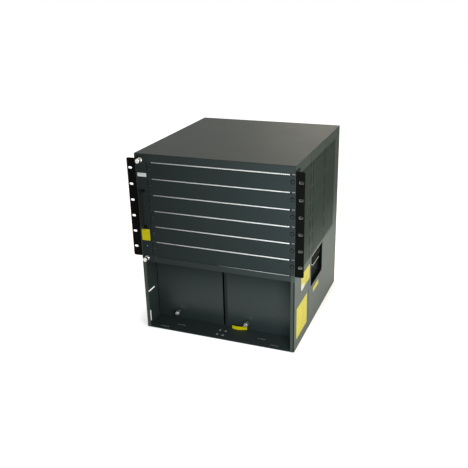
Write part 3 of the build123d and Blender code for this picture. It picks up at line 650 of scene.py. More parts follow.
arch = add(strip_tree, "GeometryNodeCurvePrimitiveBezierSegment", {
    "Resolution": LEAF_STEPS,
    "Start": (0, 0, 0),
    "Start Handle": leaf_handle(FRONT_PULL),
    "End Handle": leaf_handle(BACK_PULL),
    "End": offset(strip_tree, Y=strip["Depth"]),
}, mode="POSITION")
arch_edges = add(strip_tree, "GeometryNodeCurveToMesh", {"Curve": arch})
leaf_width = offset(strip_tree, X=strip["Finger Width"])
leaf_pull = {"Mesh": arch_edges, "Offset": leaf_width}
leaf_sheet = add(strip_tree, "GeometryNodeExtrudeMesh", leaf_pull, mode="EDGES")
leaf = thicken(strip_tree, leaf_sheet, offset(strip_tree, Z=strip["Leaf Thickness"]))
finger_row = {"Count": strip["Finger Count"], "Offset": offset(strip_tree, X=strip["Finger Pitch"])}
fingers = copies(strip_tree, add(strip_tree, "GeometryNodeMeshLine", finger_row), leaf)
end_tree(strip_tree, strip, copies(strip_tree, strip["Points"], fingers))

# %% Spring strips on the blank plates
FINGER_PITCH = 0.0048
FINGER_GAP = 0.0002
STRIP_PROUD = 0.0007
LEAF_THICKNESS = 0.0002
RAIL_STRIP_START = 0.0050
RAIL_STRIP_RISE = 0.0011


def spring_strip(length, depth, rise, starts, finish=spring_finger):
    """Strips of fingers from some start points, each filling the same length."""
    count = round(length / FINGER_PITCH)
    return grow(strip_tree, {
        "Finger Count": count,
        "Finger Pitch": length / count,
        "Finger Width": length / count - FINGER_GAP,
        "Depth": depth,
        "Rise": rise - LEAF_THICKNESS,
        "Leaf Thickness": LEAF_THICKNESS,
        "Finish": finish,
    }, starts)


strip_boxes = [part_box(f"gasket_{number}") for number in SLOTS]
strip_size = strip_boxes[0][1] - strip_boxes[0][0]
strip_depth = strip_size.y + STRIP_PROUD
strip_starts = [low - Vector((0, STRIP_PROUD, 0)) for low, high in strip_boxes]
strip_mesh = spring_strip(strip_size.x, strip_depth, strip_size.z, strip_starts)
piece("spring_strips", [strip_mesh], "chassis", [f"gasket_{number}" for number in SLOTS])

# A strip of bright fingers along the top edge of the rail is a painted highlight for the light that edge catches.
rail_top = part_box("cage_floor")[1].z
rail_start = Vector((RAIL_STRIP_START, strip_starts[0].y, rail_top))
rail_length = strip_boxes[0][1].x - RAIL_STRIP_START
rail_highlight_mesh = spring_strip(rail_length, strip_depth, RAIL_STRIP_RISE, [rail_start], rail_highlight_steel)
piece("rail_edge_highlight", [rail_highlight_mesh], "chassis")

# %% [markdown]
# ## Screws
# Small pan-head screws hold the blank plates, the ears and the rear panel, and four bare steel ones stand on
# the bay floor. The tree turns a disc into a head with a sloped shoulder, cuts a cross recess with a Boolean,
# and sets one head on each point. The points are read from the CAD screws, so the heads stay where those are.

# %% Screw tree
SCREW_SIDES = 20
SHOULDER_SHARE = 0.5
SHOULDER_SCALE = 0.7
RECESS_REACH = 4.0
RECESS_RISE = 2.0

screw_tree, screw = start_tree(
    "screw_heads",
    numbers=("Head Diameter", "Head Height", "Recess Width", "Recess Depth"),
    vectors=("Turn",),
)
reckon = partial(sum_up, screw_tree)
head_radius = reckon("DIVIDE", screw["Head Diameter"], 2.0)
head_height = screw["Head Height"]
head = crowned_disc(screw_tree, SCREW_SIDES, head_radius, head_height, SHOULDER_SHARE, SHOULDER_SCALE)
recess_length = reckon("MULTIPLY", screw["Recess Width"], RECESS_REACH)
recess_height = reckon("MULTIPLY", screw["Recess Depth"], RECESS_RISE)
head_top = offset(screw_tree, Z=head_height)
recessed = put(screw_tree, "GeometryNodeMeshBoolean", {"Mesh 1": head}, operation="DIFFERENCE")
for long_axis, short_axis in (("X", "Y"), ("Y", "X")):
    bar_sides = {long_axis: recess_length, short_axis: screw["Recess Width"], "Z": recess_height}
    bar = add(screw_tree, "GeometryNodeMeshCube", {"Size": offset(screw_tree, **bar_sides)})
    screw_tree.links.new(moved(screw_tree, bar, head_top), recessed.inputs["Mesh 2"])
faced = moved(screw_tree, recessed.outputs["Mesh"], turn=screw["Turn"])
end_tree(screw_tree, screw, copies(screw_tree, screw["Points"], faced))

# %% Screw helpers
FACING = {
    "front": (math.pi / 2, 0, 0),
    "rear": (-math.pi / 2, 0, 0),
    "right": (0, math.pi / 2, 0),
    "left": (0, -math.pi / 2, 0),
    "up": (0, 0, 0),
}
HEAD_DIAMETER = 0.0076
HEAD_HEIGHT = 0.0025
RECESS_WIDTH = 0.0011
RECESS_DEPTH = 0.0011


def screw_spots(node, axis, seat_high, keep=lambda middle: True):
    """The seat point of each separate screw in a CAD node: its middle, moved to the face it stands on."""
    shape = bmesh.new()
    shape.from_mesh(frame["nodes"][node].data)
    bmesh.ops.remove_doubles(shape, verts=shape.verts, dist=WELD)
    waiting = set(shape.verts)
    spots = []
    while waiting:
        island, reached = set(), [waiting.pop()]
        while reached:
            vertex = reached.pop()
            island.add(vertex)
            for link in vertex.link_edges:
                other = link.other_vert(vertex)
                if other in waiting:
                    waiting.remove(other)
                    reached.append(other)
        low = Vector([min(v.co[i] for v in island) for i in range(3)])
        high = Vector([max(v.co[i] for v in island) for i in range(3)])
        middle = (low + high) / 2
        if keep(middle):
            middle[axis] = high[axis] if seat_high else low[axis]
            spots.append(middle)
    shape.free()
    return sorted(spots, key=lambda s: tuple(round(v, 4) for v in s))


def screw_heads(spots, facing, finish, diameter=HEAD_DIAMETER, height=HEAD_HEIGHT):
    """Screw heads or washers on some spots, all facing one way."""
    return grow(screw_tree, {
        "Head Diameter": diameter,
        "Head Height": height,
        "Recess Width": RECESS_WIDTH,
        "Recess Depth": RECESS_DEPTH,
        "Turn": FACING[facing],
        "Finish": finish,
    }, spots)


# %% Screw sets
X_AXIS, Y_AXIS, Z_AXIS = range(3)
WASHER_DIAMETER = 0.0098
RIGHT_WASHER = 0.0120
WASHER_HEIGHT = 0.0007
FILLER_HEAD = 0.0056
FLOOR_HEAD = 0.0088

filler_spots = screw_spots("filler_screws", Y_AXIS, True)
left_fillers = [spot for spot in filler_spots if spot.x < 0]
right_fillers = [spot for spot in filler_spots if spot.x > 0]
left_washers = screw_heads(left_fillers, "front", dark_screw, WASHER_DIAMETER, WASHER_HEIGHT)
piece("left_filler_washers", [left_washers], "chassis")
right_washers = screw_heads(right_fillers, "front", black_plastic, RIGHT_WASHER, WASHER_HEIGHT)
piece("right_filler_washers", [right_washers], "chassis")
filler_heads = screw_heads(filler_spots, "front", charcoal_paint, FILLER_HEAD)
piece("filler_screw_heads", [filler_heads], "chassis", ["filler_screws"])
rear_spots = screw_spots("rear_panel_screws", Y_AXIS, False)
rear_heads = screw_heads(rear_spots, "rear", dark_screw)
piece("rear_screw_heads", [rear_heads], "chassis", ["rear_panel_screws"])
right_spots = screw_spots("rack_ear_screws", X_AXIS, False, lambda middle: middle.x > 0)
left_spots = screw_spots("rack_ear_screws", X_AXIS, True, lambda middle: middle.x < 0)
ear_heads = [screw_heads(right_spots, "right", dark_screw), screw_heads(left_spots, "left", dark_screw)]
piece("ear_screw_heads", ear_heads, "chassis", ["rack_ear_screws"])
floor_spots = screw_spots("bay_floor_screws", Z_AXIS, False)
floor_heads = screw_heads(floor_spots, "up", dull_steel, FLOOR_HEAD)
piece("floor_screw_heads", [floor_heads], "chassis", ["bay_floor_screws"])
print("screws", len(filler_spots), len(rear_spots), len(right_spots) + len(left_spots), len(floor_spots))

# %% [markdown]
# ## Pale slot rims of the ears
# Pale metal rims in the twelve slots of the ears are painted highlights for the light that the slots' inner edges
# catch. A tree draws one slot as a rectangle with rounded ends, sweeps a small round along it and sets a copy at
# each slot. The rim lies inside the thickness of the ear, and the record's mount gives the places of the slots.

# %% Slot rims
SLOT_LENGTH, SLOT_WIDTH = 0.0120, 0.0070
SLOT_END_SHARE = 0.499
SLOT_END_STEPS = 5
RIM = 0.0007
RIM_SIDES = 6
RIM_SET_BACK = 0.0013

rim_tree, rim = start_tree("slot_rim", numbers=("Slot Length", "Slot Width", "Rim"))
slot_sides = {"Width": rim["Slot Length"], "Height": rim["Slot Width"]}
slot_shape = add(rim_tree, "GeometryNodeCurvePrimitiveQuadrilateral", slot_sides)
slot_end = sum_up(rim_tree, "MULTIPLY", rim["Slot Width"], SLOT_END_SHARE)
slot_ends = {"Curve": slot_shape, "Radius": slot_end, "Count": SLOT_END_STEPS}
slot_line = add(rim_tree, "GeometryNodeFilletCurve", slot_ends, mode="POLY")
rim_round = {"Resolution": RIM_SIDES, "Radius": rim["Rim"]}
rim_section = add(rim_tree, "GeometryNodeCurvePrimitiveCircle", rim_round)
swept = add(rim_tree, "GeometryNodeCurveToMesh", {"Curve": slot_line, "Profile Curve": rim_section})
one_rim = moved(rim_tree, swept, turn=FACING["front"])
end_tree(rim_tree, rim, copies(rim_tree, rim["Points"], one_rim))

slot_mount = next(mount for mount in frame["record"]["mounts"] if mount["name"] == "rack_slots_inner")
slot_pitch = slot_mount["dims"]["spacing_y_mm"] / 1000
slot_reach = slot_mount["dims"]["spacing_x_mm"] / 2000
slot_middle = Vector(slot_mount["pos_m"])
slot_places = []
for ear_side in (-1, 1):
    for number in SLOTS:
        slot_rise = (number - (len(SLOTS) + 1) / 2) * slot_pitch
        slot_places.append(slot_middle + Vector((ear_side * slot_reach, RIM_SET_BACK, slot_rise)))
rim_sizes = {"Slot Length": SLOT_LENGTH, "Slot Width": SLOT_WIDTH, "Rim": RIM, "Finish": dull_steel}
# Pale metal rims in the slots: painted highlights.
slot_highlight_rims = grow(rim_tree, rim_sizes, slot_places)
piece("ear_slot_highlights", [slot_highlight_rims], "chassis")
print("slot rims", len(slot_places), "from", slot_middle)

# %% [markdown]
# ## Thumbscrews
# Four captive screws with knurled heads hold the fan tray and the two bay plates. A turned part is a profile
# spun about its axis. Here each ring of points can also be ribbed, with every second point a little lower,
# which makes the straight knurl. A Boolean then cuts the driver slot across the head.

# %% Turned solids
LATHE_SIDES = 60


def turned(rings, finish):
    """A turned solid about +Z through (radius, height, rib depth) rings."""
    loops = []
    for radius, height, rib in rings:
        loop = []
        for i in range(LATHE_SIDES):
            angle = 2 * math.pi * i / LATHE_SIDES
            reach = radius - rib * (i % 2)
            loop.append((reach * math.cos(angle), reach * math.sin(angle), height))
        loops.append(loop)
    return skin(loops, finish)


def box_mesh(low, high):
    """A plain box between two corners, used as a cutter."""
    shape = bmesh.new()
    size = Vector(high) - Vector(low)
    middle = (Vector(high) + Vector(low)) / 2
    bmesh.ops.create_cube(shape, size=1.0, matrix=Matrix.Translation(middle) @ Matrix.Diagonal((*size, 1)))
    return outward(shape, bpy.data.meshes.new("cutter"))


def carve(mesh, cutter):
    """One mesh with another cut out of it."""
    kept = new_object("kept", mesh)
    taken = new_object("taken", cutter)
    boolean = kept.modifiers.new("cut", "BOOLEAN")
    boolean.object = taken
    boolean.operation = "DIFFERENCE"
    boolean.solver = "EXACT"
    result = settled(kept)
    bpy.data.objects.remove(taken)
    return result


# %% Turned screws
KNURL_DEPTH = 0.00035
COLLAR_RINGS = (
    (0.0019, -0.0060, 0),
    (0.0019, 0.0003, 0),
    (0.0062, 0.0003, 0),
    (0.0065, 0.0006, 0),
    (0.0065, 0.0068, 0),
    (0.0060, 0.0073, 0),
)
HEAD_RINGS = (
    (0.0040, 0.0073, 0),
    (0.0040, 0.0103, 0),
    (0.0053, 0.0103, 0),
    (0.0060, 0.0109, KNURL_DEPTH),
    (0.0060, 0.0194, KNURL_DEPTH),
    (0.0052, 0.0203, 0),
)
SLOT_HALF = 0.0008
SLOT_FLOOR = 0.0187
SLOT_TOP = 0.0220
SLOT_REACH = 0.0080


def thumbscrew(node, collar_finish):
    """A knurled thumbscrew in place of its CAD node, with its axis towards the front, and its collar."""
    low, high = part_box(node)
    slot = box_mesh((-SLOT_REACH, -SLOT_HALF, SLOT_FLOOR), (SLOT_REACH, SLOT_HALF, SLOT_TOP))
    head = carve(turned(HEAD_RINGS, bright_zinc), slot)
    collar = turned(COLLAR_RINGS, collar_finish)
    seat = Vector(((low.x + high.x) / 2, high.y + COLLAR_RINGS[0][1], (low.z + high.z) / 2))
    for mesh in (head, collar):
        mesh.transform(Matrix.Translation(seat) @ Matrix.Rotation(math.pi / 2, 4, "X"))
    piece(node + "_collar", [collar], node)
    piece(node + "_head", [head], node, [node])


for end in ("upper", "lower"):
    thumbscrew(f"fan_thumbscrew_{end}", bright_zinc)
for end in ("left", "right"):
    thumbscrew(f"bay_thumbscrew_{end}", charcoal_paint)

# %% [markdown]
# ## Fan rotors
# The tray carries six axial fans, and their blades show when it slides out. A blade follows a rule: along its
# span the chord grows and the pitch flattens, and across the chord it is cambered. The tree bends a small
# grid by that rule, wraps it about the axis, thickens it and repeats it round a domed hub.

# %% Rotor tree: one blade
CHORD_POINTS = 7
SPAN_POINTS = 8
ROOT_SINK = 0.95
# The grid runs from -0.5 to 0.5 across the chord, so this brings the camber to zero at both edges.
CAMBER_BOW = 4.0

rotor_tree, rotor = start_tree(
    "fan_rotor",
    numbers=("Hub Radius", "Hub Length", "Tip Radius", "Root Chord", "Tip Chord", "Root Pitch", "Tip Pitch",
             "Camber", "Sweep", "Blade Thickness"),
    counts=("Blade Count",),
    vectors=("Place", "Turn"),
)
reckon = partial(sum_up, rotor_tree)
blade_grid = add(rotor_tree, "GeometryNodeMeshGrid",
                 {"Size X": 1.0, "Size Y": 1.0, "Vertices X": CHORD_POINTS, "Vertices Y": SPAN_POINTS})
grid_place = add(rotor_tree, "GeometryNodeInputPosition")
grid_parts = put(rotor_tree, "ShaderNodeSeparateXYZ", {0: grid_place}).outputs
across = grid_parts["X"]
along = reckon("ADD", grid_parts["Y"], 0.5)
root_radius = reckon("MULTIPLY", rotor["Hub Radius"], ROOT_SINK)
radius = ramp(rotor_tree, along, low=root_radius, high=rotor["Tip Radius"])
chord = ramp(rotor_tree, along, low=rotor["Root Chord"], high=rotor["Tip Chord"])
pitch = ramp(rotor_tree, along, low=rotor["Root Pitch"], high=rotor["Tip Pitch"])
run = reckon("MULTIPLY", across, chord)
hollow = reckon("MULTIPLY", reckon("MULTIPLY", across, across), CAMBER_BOW)
rise = reckon("MULTIPLY", reckon("SUBTRACT", 1.0, hollow), rotor["Camber"])
cosine = reckon("COSINE", pitch)
sine = reckon("SINE", pitch)
around = reckon("SUBTRACT", reckon("MULTIPLY", run, cosine), reckon("MULTIPLY", rise, sine))
around = reckon("ADD", around, reckon("MULTIPLY", along, rotor["Sweep"]))
axial = reckon("ADD", reckon("MULTIPLY", run, sine), reckon("MULTIPLY", rise, cosine))
axial = reckon("ADD", axial, reckon("DIVIDE", rotor["Hub Length"], 2.0))
angle = reckon("DIVIDE", around, radius)
blade_x = reckon("MULTIPLY", radius, reckon("COSINE", angle))
blade_y = reckon("MULTIPLY", radius, reckon("SINE", angle))
blade_point = offset(rotor_tree, X=blade_x, Y=blade_y, Z=axial)
bent = add(rotor_tree, "GeometryNodeSetPosition", {"Geometry": blade_grid, "Position": blade_point})
face_normal = add(rotor_tree, "GeometryNodeInputNormal")
one_blade = thicken(rotor_tree, bent, scaled(rotor_tree, face_normal, rotor["Blade Thickness"]))
print("one blade", len(rotor_tree.nodes), "nodes")

# %% Rotor tree: the ring of blades and the hub
HUB_SIDES = 40
DOME_SHARE = 0.14
DOME_SCALE = 0.86

turn_step = reckon("DIVIDE", 2 * math.pi, rotor["Blade Count"])
blade_index = add(rotor_tree, "GeometryNodeInputIndex")
blade_turn = offset(rotor_tree, Z=reckon("MULTIPLY", blade_index, turn_step))
blade_rotation = add(rotor_tree, "FunctionNodeEulerToRotation", {0: blade_turn})
blade_line = {"Count": rotor["Blade Count"], "Offset": (0, 0, 0)}
blade_spots = add(rotor_tree, "GeometryNodeMeshLine", blade_line)
blades = copies(rotor_tree, blade_spots, one_blade, Rotation=blade_rotation)
hub = crowned_disc(rotor_tree, HUB_SIDES, rotor["Hub Radius"], rotor["Hub Length"], DOME_SHARE, DOME_SCALE)
end_tree(rotor_tree, rotor, moved(rotor_tree, joined(rotor_tree, blades, hub), rotor["Place"], rotor["Turn"]))

# %% Rotors
FANS = range(1, 7)
AXIS_ALONG_X = (math.pi / 2, 0, math.pi / 2)
SPIN_PLACES = {j["child"]: j["pos_m"] for j in frame["joints"] if j["name"].startswith("fan_spin")}
ROTOR_BUILD = {
    "Blade Count": 7,
    "Hub Radius": 0.0200,
    "Tip Radius": 0.0538,
    "Root Chord": 0.0200,
    "Tip Chord": 0.0330,
    "Root Pitch": math.radians(46),
    "Tip Pitch": math.radians(27),
    "Camber": 0.0022,
    "Sweep": 0.0090,
    "Blade Thickness": 0.0013,
    "Turn": AXIS_ALONG_X,
    "Finish": black_plastic,
}

for number in FANS:
    rotor_name = f"fan_rotor_{number}"
    low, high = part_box(rotor_name)
    rotor_place = (low.x, *SPIN_PLACES[rotor_name][1:])
    rotor_mesh = grow(rotor_tree, ROTOR_BUILD | {"Hub Length": high.x - low.x, "Place": rotor_place})
    piece(rotor_name + "_moulded", [rotor_mesh], rotor_name, [rotor_name])

# %% [markdown]
# ## Fan frames
# A moulded fan frame is two square flanges joined by a round duct, with a motor mount on four struts at the
# back. Fill Curve makes each flange from a rounded square, the bore and four screw holes, and the duct from
# two circles. A Boolean joins the motor mount and its struts into one spider.

# %% Fan frame tree
DUCT_SIDES = 64
MOUNT_SIDES = 32
SCREW_HOLE_SIDES = 12
CORNER_STEPS = 5
STRUT_ANGLES = (45, 135)

case_tree, case = start_tree(
    "fan_frame",
    numbers=("Side", "Depth", "Bore", "Duct", "Flange", "Corner", "Screw Spacing", "Screw Hole", "Mount",
             "Strut", "Strut Depth"),
    vectors=("Place", "Turn"),
)
reckon = partial(sum_up, case_tree)


def ring_curve(diameter, sides):
    """A circle of a given diameter, in the frame tree."""
    radius = reckon("DIVIDE", diameter, 2.0)
    return add(case_tree, "GeometryNodeCurvePrimitiveCircle", {"Resolution": sides, "Radius": radius})


def raised(height):
    """An upward offset, in the frame tree."""
    return offset(case_tree, Z=height)


square_sides = {"Width": case["Side"], "Height": case["Side"]}
square = add(case_tree, "GeometryNodeCurvePrimitiveQuadrilateral", square_sides)
corners = {"Curve": square, "Count": CORNER_STEPS, "Radius": case["Corner"]}
rounded = add(case_tree, "GeometryNodeFilletCurve", corners, mode="POLY")
corner_grid = add(case_tree, "GeometryNodeMeshGrid", {
    "Size X": case["Screw Spacing"],
    "Size Y": case["Screw Spacing"],
    "Vertices X": 2,
    "Vertices Y": 2,
})
corner_holes = copies(case_tree, corner_grid, ring_curve(case["Screw Hole"], SCREW_HOLE_SIDES))
corner_rings = add(case_tree, "GeometryNodeRealizeInstances", {"Geometry": corner_holes})
flange_sheet = filled(case_tree, rounded, corner_rings, ring_curve(case["Bore"], DUCT_SIDES))
back_flange = thicken(case_tree, flange_sheet, raised(case["Flange"]))
front_flange = moved(case_tree, back_flange, raised(reckon("SUBTRACT", case["Depth"], case["Flange"])))
duct_sheet = filled(case_tree, ring_curve(case["Duct"], DUCT_SIDES), ring_curve(case["Bore"], DUCT_SIDES))
duct_length = reckon("SUBTRACT", case["Depth"], reckon("MULTIPLY", case["Flange"], 2.0))
duct = moved(case_tree, thicken(case_tree, duct_sheet, raised(duct_length)), raised(case["Flange"]))
mount = add(case_tree, "GeometryNodeMeshCylinder", {
    "Vertices": MOUNT_SIDES,
    "Radius": reckon("DIVIDE", case["Mount"], 2.0),
    "Depth": case["Strut Depth"],
})
strut_size = offset(case_tree, X=case["Bore"], Y=case["Strut"], Z=case["Strut Depth"])
strut = add(case_tree, "GeometryNodeMeshCube", {"Size": strut_size})
spider = put(case_tree, "GeometryNodeMeshBoolean", operation="UNION")
case_tree.links.new(mount, spider.inputs["Mesh 2"])
for degrees in STRUT_ANGLES:
    arm = moved(case_tree, strut, turn=(0, 0, math.radians(degrees)))
    case_tree.links.new(arm, spider.inputs["Mesh 2"])
spider_lift = raised(reckon("DIVIDE", case["Strut Depth"], 2.0))
lifted_spider = moved(case_tree, spider.outputs["Mesh"], spider_lift)
whole_case = joined(case_tree, back_flange, front_flange, duct, lifted_spider)
end_tree(case_tree, case, moved(case_tree, whole_case, case["Place"], case["Turn"]))

# %% Fan frames
FRAME_BUILD = {
    "Bore": 0.1130,
    "Duct": 0.1180,
    "Flange": 0.0040,
    "Corner": 0.0065,
    "Screw Spacing": 0.1050,
    "Screw Hole": 0.0044,
    "Mount": 0.0400,
    "Strut": 0.0060,
    "Strut Depth": 0.0030,
    "Turn": AXIS_ALONG_X,
    "Finish": black_plastic,
}

for number in FANS:
    frame_name = f"fan_housing_{number}"
    low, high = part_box(frame_name)
    case_mesh = grow(case_tree, FRAME_BUILD | {
        "Side": high.y - low.y,
        "Depth": high.x - low.x,
        "Place": (low.x, (low.y + high.y) / 2, (low.z + high.z) / 2),
    })
    piece(frame_name + "_moulded", [case_mesh], "fan_tray", [frame_name])

# %% [markdown]
# ## The fan tray's handle
# The bow handle is a moulded bar with softened edges. Its path is two legs and a grip joined by round bends.
# A rounded section is carried along that path ring by ring, which gives clean long faces and a smooth bend.

# %% Bow handle
HANDLE_THICK = 0.0070
HANDLE_BEND = 0.0115
BEND_STEPS = 8
SECTION_ROUND = 0.0022
SECTION_STEPS = 4


def rounded_section(width, depth, radius, steps):
    """Points of a rectangle with rounded corners, about its centre."""
    points = []
    for quarter, (sx, sy) in enumerate(((1, 1), (-1, 1), (-1, -1), (1, -1))):
        centre = Vector((sx * (width / 2 - radius), sy * (depth / 2 - radius)))
        for i in range(steps + 1):
            angle = math.pi / 2 * (quarter + i / steps)
            points.append(centre + radius * Vector((math.cos(angle), math.sin(angle))))
    return points


def bow_path(low, high, reach, bend, steps):
    """The middle line of a bow: out, along and back, as (distance out, height, direction angle) stations."""
    stations = [(0.0, low, 0.0)]
    for start, centre_height in ((0.0, low + bend), (math.pi / 2, high - bend)):
        for i in range(steps + 1):
            heading = start + math.pi / 2 * i / steps
            out = reach - bend + bend * math.sin(heading)
            stations.append((out, centre_height - bend * math.cos(heading), heading))
    stations.append((0.0, high, math.pi))
    return stations


def bow_handle():
    """The handle in place of its CAD node."""
    low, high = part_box("fan_tray_handle")
    half = HANDLE_THICK / 2
    stations = bow_path(low.z + half, high.z - half, high.y - low.y - half, HANDLE_BEND, BEND_STEPS)
    section = rounded_section(high.x - low.x, HANDLE_THICK, SECTION_ROUND, SECTION_STEPS)
    middle_x = (low.x + high.x) / 2
    rings = []
    for out, height, heading in stations:
        side_out, side_up = math.sin(heading), -math.cos(heading)
        rings.append([
            (middle_x + p.x, high.y - out - p.y * side_out, height + p.y * side_up)
            for p in section
        ])
    bow = [skin(rings, black_plastic)]
    made = piece("fan_tray_handle_moulded", bow, "fan_tray", ["fan_tray_handle"])
    made.data.shade_smooth()
    return made


bow_handle()

# %% [markdown]
# ## Hand holds
# Each side has a moulded pocket with a black gripping lip. The well behind it is painted paler at its back and
# darker towards the mouth, as painted light and shade inside the pocket, so the pocket's finish changes tone by
# its distance from the middle of the chassis. The lip's lower edge and the upper edge of the mouth are rounded
# over, and pale beads along them are painted highlights where those edges catch the light. Ribs run along the lip,
# a little paler than it as a painted highlight. A bevelled curve makes each of those beads.

# %% Hand hold finishes
LIP_INNER = 0.2095
# Paler at the back of the well and dark near its mouth: painted light and shade.
WELL_PAINTED_LIGHT = (0.120, 0.120, 0.125, 1)
WELL_PAINTED_SHADE = (0.006, 0.008, 0.007, 1)
WELL_FADE_START, WELL_FADE_END = 0.1900, 0.2075

pocket_plastic_painted_light = moulded_plastic("pocket_plastic_painted_light", (0.0045, 0.006, 0.005), roughness=0.6, sheen=0.0)
pocket_tree = pocket_plastic_painted_light.node_tree
pocket_shader = shader_of(pocket_plastic_painted_light)
lip_tone = pocket_shader.inputs["Base Color"].links[0].from_socket
reach_out = sum_up(pocket_tree, "ABSOLUTE", place_along(pocket_tree, "X"))
well_light_fade = ramp(pocket_tree, reach_out, WELL_FADE_START, WELL_FADE_END)
well_painted_light = mixed(pocket_tree, well_light_fade, WELL_PAINTED_LIGHT, WELL_PAINTED_SHADE)
on_lip = sum_up(pocket_tree, "GREATER_THAN", reach_out, LIP_INNER)
fill(pocket_tree, pocket_shader, {"Base Color": mixed(pocket_tree, on_lip, well_painted_light, lip_tone)})
# Pale beads along the rounded edges: painted highlights.
edge_highlight = moulded_plastic("edge_highlight", (0.42, 0.44, 0.42), roughness=0.35)
# The ribs are real, but their paler grey than the lip is a painted highlight.
rib_highlight_plastic = moulded_plastic("rib_highlight_plastic", (0.045, 0.048, 0.045), roughness=0.45, sheen=0.1)
print("pocket finishes", pocket_plastic_painted_light.name, edge_highlight.name, rib_highlight_plastic.name)

# %% Hand holds
SIDE_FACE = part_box("right_side_wall")[1].x
MOUTH_FRONT, MOUTH_REAR, MOUTH_TOP = -0.0700, 0.0550, 0.2100
MOUTH_CORNER = 0.0060
MOUTH_STEPS = 6
MOUTH_BEAD = 0.0015
MOUTH_FOOT = 0.1850
LIP_FACE = 0.2150
LIP_BEAD = 0.0013
LIP_LINE = ((-0.0690, 0.1900), (-0.0395, 0.1720), (0.0245, 0.1720))
RIB_BEAD = 0.0007
RIB_HEIGHTS = (0.1990, 0.1915, 0.1840)
RIB_FRONT, RIB_REAR = -0.0520, 0.0370
BEAD_ROUND = 2


def bead(points, radius, finish):
    """A round bead along a line of points, as a mesh."""
    line = bpy.data.curves.new("bead", "CURVE")
    line.dimensions = "3D"
    line.bevel_depth = radius
    line.bevel_resolution = BEAD_ROUND
    line.use_fill_caps = True
    run = line.splines.new("POLY")
    run.points.add(len(points) - 1)
    for spot, point in zip(run.points, points):
        spot.co = (*point, 1)
    maker = bpy.data.objects.new("bead", line)
    mesh = bpy.data.meshes.new_from_object(maker)
    bpy.data.objects.remove(maker)
    dress(mesh, finish)
    return mesh


def hand_hold(side, name):
    """Dress one pocket and add the two pale beads of painted highlight along its edges and the ribs of its lip."""
    dress(frame["nodes"][f"{name}_handle_pocket"].data, pocket_plastic_painted_light)
    mouth_x, lip_x = side * (SIDE_FACE - MOUTH_BEAD), side * LIP_FACE
    front, top = MOUTH_FRONT + MOUTH_BEAD, MOUTH_TOP - MOUTH_BEAD
    turn = MOUTH_CORNER - MOUTH_BEAD
    mouth = [(mouth_x, front, MOUTH_FOOT)]
    for i in range(MOUTH_STEPS + 1):
        angle = math.pi / 2 * i / MOUTH_STEPS
        mouth.append((mouth_x, front + turn * (1 - math.cos(angle)), top - turn * (1 - math.sin(angle))))
    mouth.append((mouth_x, MOUTH_REAR - MOUTH_CORNER, top))
    lip = [(lip_x, y, z) for y, z in LIP_LINE]
    edges = [bead(mouth, MOUTH_BEAD, edge_highlight), bead(lip, LIP_BEAD, edge_highlight)]
    piece(f"{name}_hold_edge_highlights", edges, "chassis")
    ribs = [bead([(lip_x, RIB_FRONT, z), (lip_x, RIB_REAR, z)], RIB_BEAD, rib_highlight_plastic) for z in RIB_HEIGHTS]
    piece(f"{name}_hold_ribs", ribs, "chassis")


hand_hold(-1, "left")
hand_hold(1, "right")

# %% [markdown]
# ## Bare label fields
# Stickers mark the fan tray and the right side. Each is a plain field of vinyl with rounded corners, as thin
# as a sticker and lying on the sheet that carries it. Vinyl has a faint orange-peel surface and a little
# fading, which the material gives with two scales of noise.

# %% Vinyl materials
FADE_PER_METRE, PEEL_PER_METRE = 45.0, 700.0
FADE_TONES = (0.92, 1.05)
VINYL_ROUGHNESS = (0.35, 0.48)
VINYL_BUMP = 0.05
VINYL_SHEEN = 0.2


def label_vinyl(name, colour):
    """Sticker vinyl with faint fading and an uneven gloss."""
    material, tree, shader, place = new_finish(name)
    fade = noise(tree, place, FADE_PER_METRE, detail=3.0)
    peel = noise(tree, place, PEEL_PER_METRE)
    fill(tree, shader, {
        "Base Color": scaled(tree, colour, stretch(tree, fade, *FADE_TONES)),
        "Roughness": stretch(tree, peel, *VINYL_ROUGHNESS),
        "Normal": bumped(tree, VINYL_BUMP, peel),
        "Specular IOR Level": VINYL_SHEEN,
    })
    return material


yellow_vinyl = label_vinyl("yellow_vinyl", (0.69, 0.59, 0.003))
white_vinyl = label_vinyl("white_vinyl", (0.80, 0.80, 0.78))
print("vinyl", yellow_vinyl.name, white_vinyl.name)

# %% Labels
LABEL_THICK = 0.00025
LABEL_CORNER = 0.0018
LABEL_STEPS = 3
FRONT_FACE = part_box("fan_tray_faceplate")[0].y
FRONT_AXES = ((1, 0, 0), (0, 0, 1), (0, -1, 0))
SIDE_AXES = ((0, 1, 0), (0, 0, 1), (1, 0, 0))


def label(name, width, height, place, axes, finish, body):
    """A thin rounded field with its back on a surface. The axes are its width, height and outward ones."""
    across, up, out = (Vector(axis) for axis in axes)
    corner = min(LABEL_CORNER, width / 4, height / 4)
    outline = rounded_section(width, height, corner, LABEL_STEPS)
    back = [Vector(place) + across * p.x + up * p.y for p in outline]
    front = [point + out * LABEL_THICK for point in back]
    return piece(name, [skin([back, front], finish)], body)


def front_label(name, x0, x1, z0, z1, finish, face=FRONT_FACE, body="fan_tray"):
    """A field on a front face, which is the fan tray's faceplate unless another is named."""
    place = ((x0 + x1) / 2, face, (z0 + z1) / 2)
    return label(name, x1 - x0, z1 - z0, place, FRONT_AXES, finish, body)


def side_label(name, depth0, depth1, z0, z1, finish, lift=0.0):
    """A field on the right side, with its ends measured back from the front."""
    place = (SIDE_FACE + lift, FRONT_FACE + (depth0 + depth1) / 2, (z0 + z1) / 2)
    return label(name, depth1 - depth0, z1 - z0, place, SIDE_AXES, finish, "chassis")


